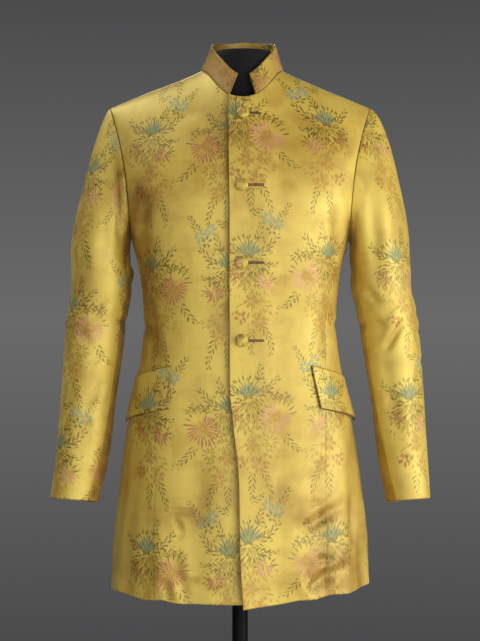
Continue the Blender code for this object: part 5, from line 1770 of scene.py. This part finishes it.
def make_stand():
    bore, top = POLE_RADIUS + FIT, FORM_BOTTOM - FIT
    foot, tip = BASE_FLOOR + FIT, FORM_BOTTOM + SOCKET_DEPTH - FIT
    pole = [(0.0, tip), (POLE_RADIUS, tip), (POLE_RADIUS, foot), (0.0, foot)]
    turned("pole_tube", pole, "form_pole", closed=False)
    hub = [(bore, top), (HUB_RADIUS, top), (HUB_RADIUS, top - HUB_RIM * HUB_HEIGHT)]
    hub += [(HUB_FOOT * HUB_RADIUS, top - HUB_HEIGHT), (bore, top - HUB_HEIGHT)]
    turned("hub_turned", hub, "form_hub")
    base = [
        (0.0, BASE_FLOOR),
        (bore, BASE_FLOOR),
        (bore, BOSS_TOP),
        (BOSS_RADIUS - BOSS_CHAMFER, BOSS_TOP),
        (BOSS_RADIUS, BOSS_TOP - BOSS_CHAMFER),
        (BOSS_RADIUS + BOSS_FLARE[0], BASE_EDGE + FLARE_HIGH),
        (BOSS_RADIUS + BOSS_FLARE[1], BASE_EDGE + FLARE_LOW),
        (BASE_RADIUS - BASE_DISH, BASE_EDGE),
        (BASE_RADIUS - BASE_CHAMFER, BASE_EDGE - BASE_CHAMFER),
        (BASE_RADIUS, BASE_EDGE - BASE_LIP),
        (BASE_RADIUS, 0.0),
        (0.0, 0.0),
    ]
    turned("base_turned", base, "form_base", closed=False)


# ============================== Studio ==========================================================
FRAME_HEIGHT_PX, FOCAL_PX, SENSOR = 641, 1818, 36.0
CAMERA_PLACE = (0.0, -3.0, 1.056)
LIGHTS = (  # place, aim, size, watts
    ((2.00, -2.40, 1.15), (0.0, 0.0, 0.98), 2.9, 66),
    ((-0.5, -3.0, 1.00), (0.0, 0.0, 0.90), 2.0, 25),
    ((-1.3, 0.2, 2.9), (0.0, 0.0, 1.35), 1.1, 22),
    ((2.5, -1.0, 1.2), (0.1, 0.0, 1.0), 1.4, 34),
    ((-0.2, 2.9, 2.7), (0.0, 0.0, 1.0), 1.3, 20),
)
FLOOR_HALF = 2.9
WALL_LIGHT, WALL_DARK, WALL_FADE = srgb(106, 106, 107), srgb(64, 64, 66), 4.6  # level, and up or down from it


def make_camera():
    camera = bpy.data.cameras.new("camera")
    camera.sensor_fit, camera.sensor_width = "AUTO", SENSOR
    camera.lens = SENSOR * FOCAL_PX / FRAME_HEIGHT_PX
    stand = link("camera", camera)
    stand.location, stand.rotation_euler = CAMERA_PLACE, (math.radians(90), 0, 0)
    bpy.context.scene.camera = stand


def make_lights():
    for number, (place, aim, size, watts) in enumerate(LIGHTS, start=1):
        light = bpy.data.lights.new(f"softbox_{number}", "AREA")
        light.size, light.energy = size, watts
        stand = link(light.name, light)
        stand.location = place
        stand.rotation_euler = (Vector(aim) - Vector(place)).to_track_quat("-Z", "Y").to_euler()


def make_studio():
    mesh = bpy.data.meshes.new("floor")
    corners = [(x * FLOOR_HALF, y * FLOOR_HALF, 0) for x, y in ((-1, -1), (1, -1), (1, 1), (-1, 1))]
    mesh.from_pydata(corners, [], [(0, 1, 2, 3)])
    mesh.materials.append(studio_floor())
    link("floor", mesh)
    world = bpy.data.worlds.new("studio")
    world.use_nodes = True
    bpy.context.scene.world = world
    tree = world.node_tree
    height = components(add_node(tree, "TexCoord", "Generated"))[2]
    off = height.make("ABSOLUTE").scaled(WALL_FADE, 0.0, clamp=True)
    plug(tree.nodes["Background"].inputs["Color"], blend(off, WALL_LIGHT, WALL_DARK))
    bpy.context.scene.view_settings.view_transform = "Standard"


# ============================== Putting it together =============================================
for side, suffix in ((1, "left"), (-1, "right")):
    make_body(side, suffix)
    make_sleeve(side, suffix)
    make_flap(side, suffix)
make_collar()
for number, height in enumerate(BUTTON_HEIGHTS, start=1):
    make_button(number, height)
    make_buttonhole(number, height)
make_pick_stitches(-1, "right")
make_form()
make_stand()
make_camera()
make_lights()
make_studio()
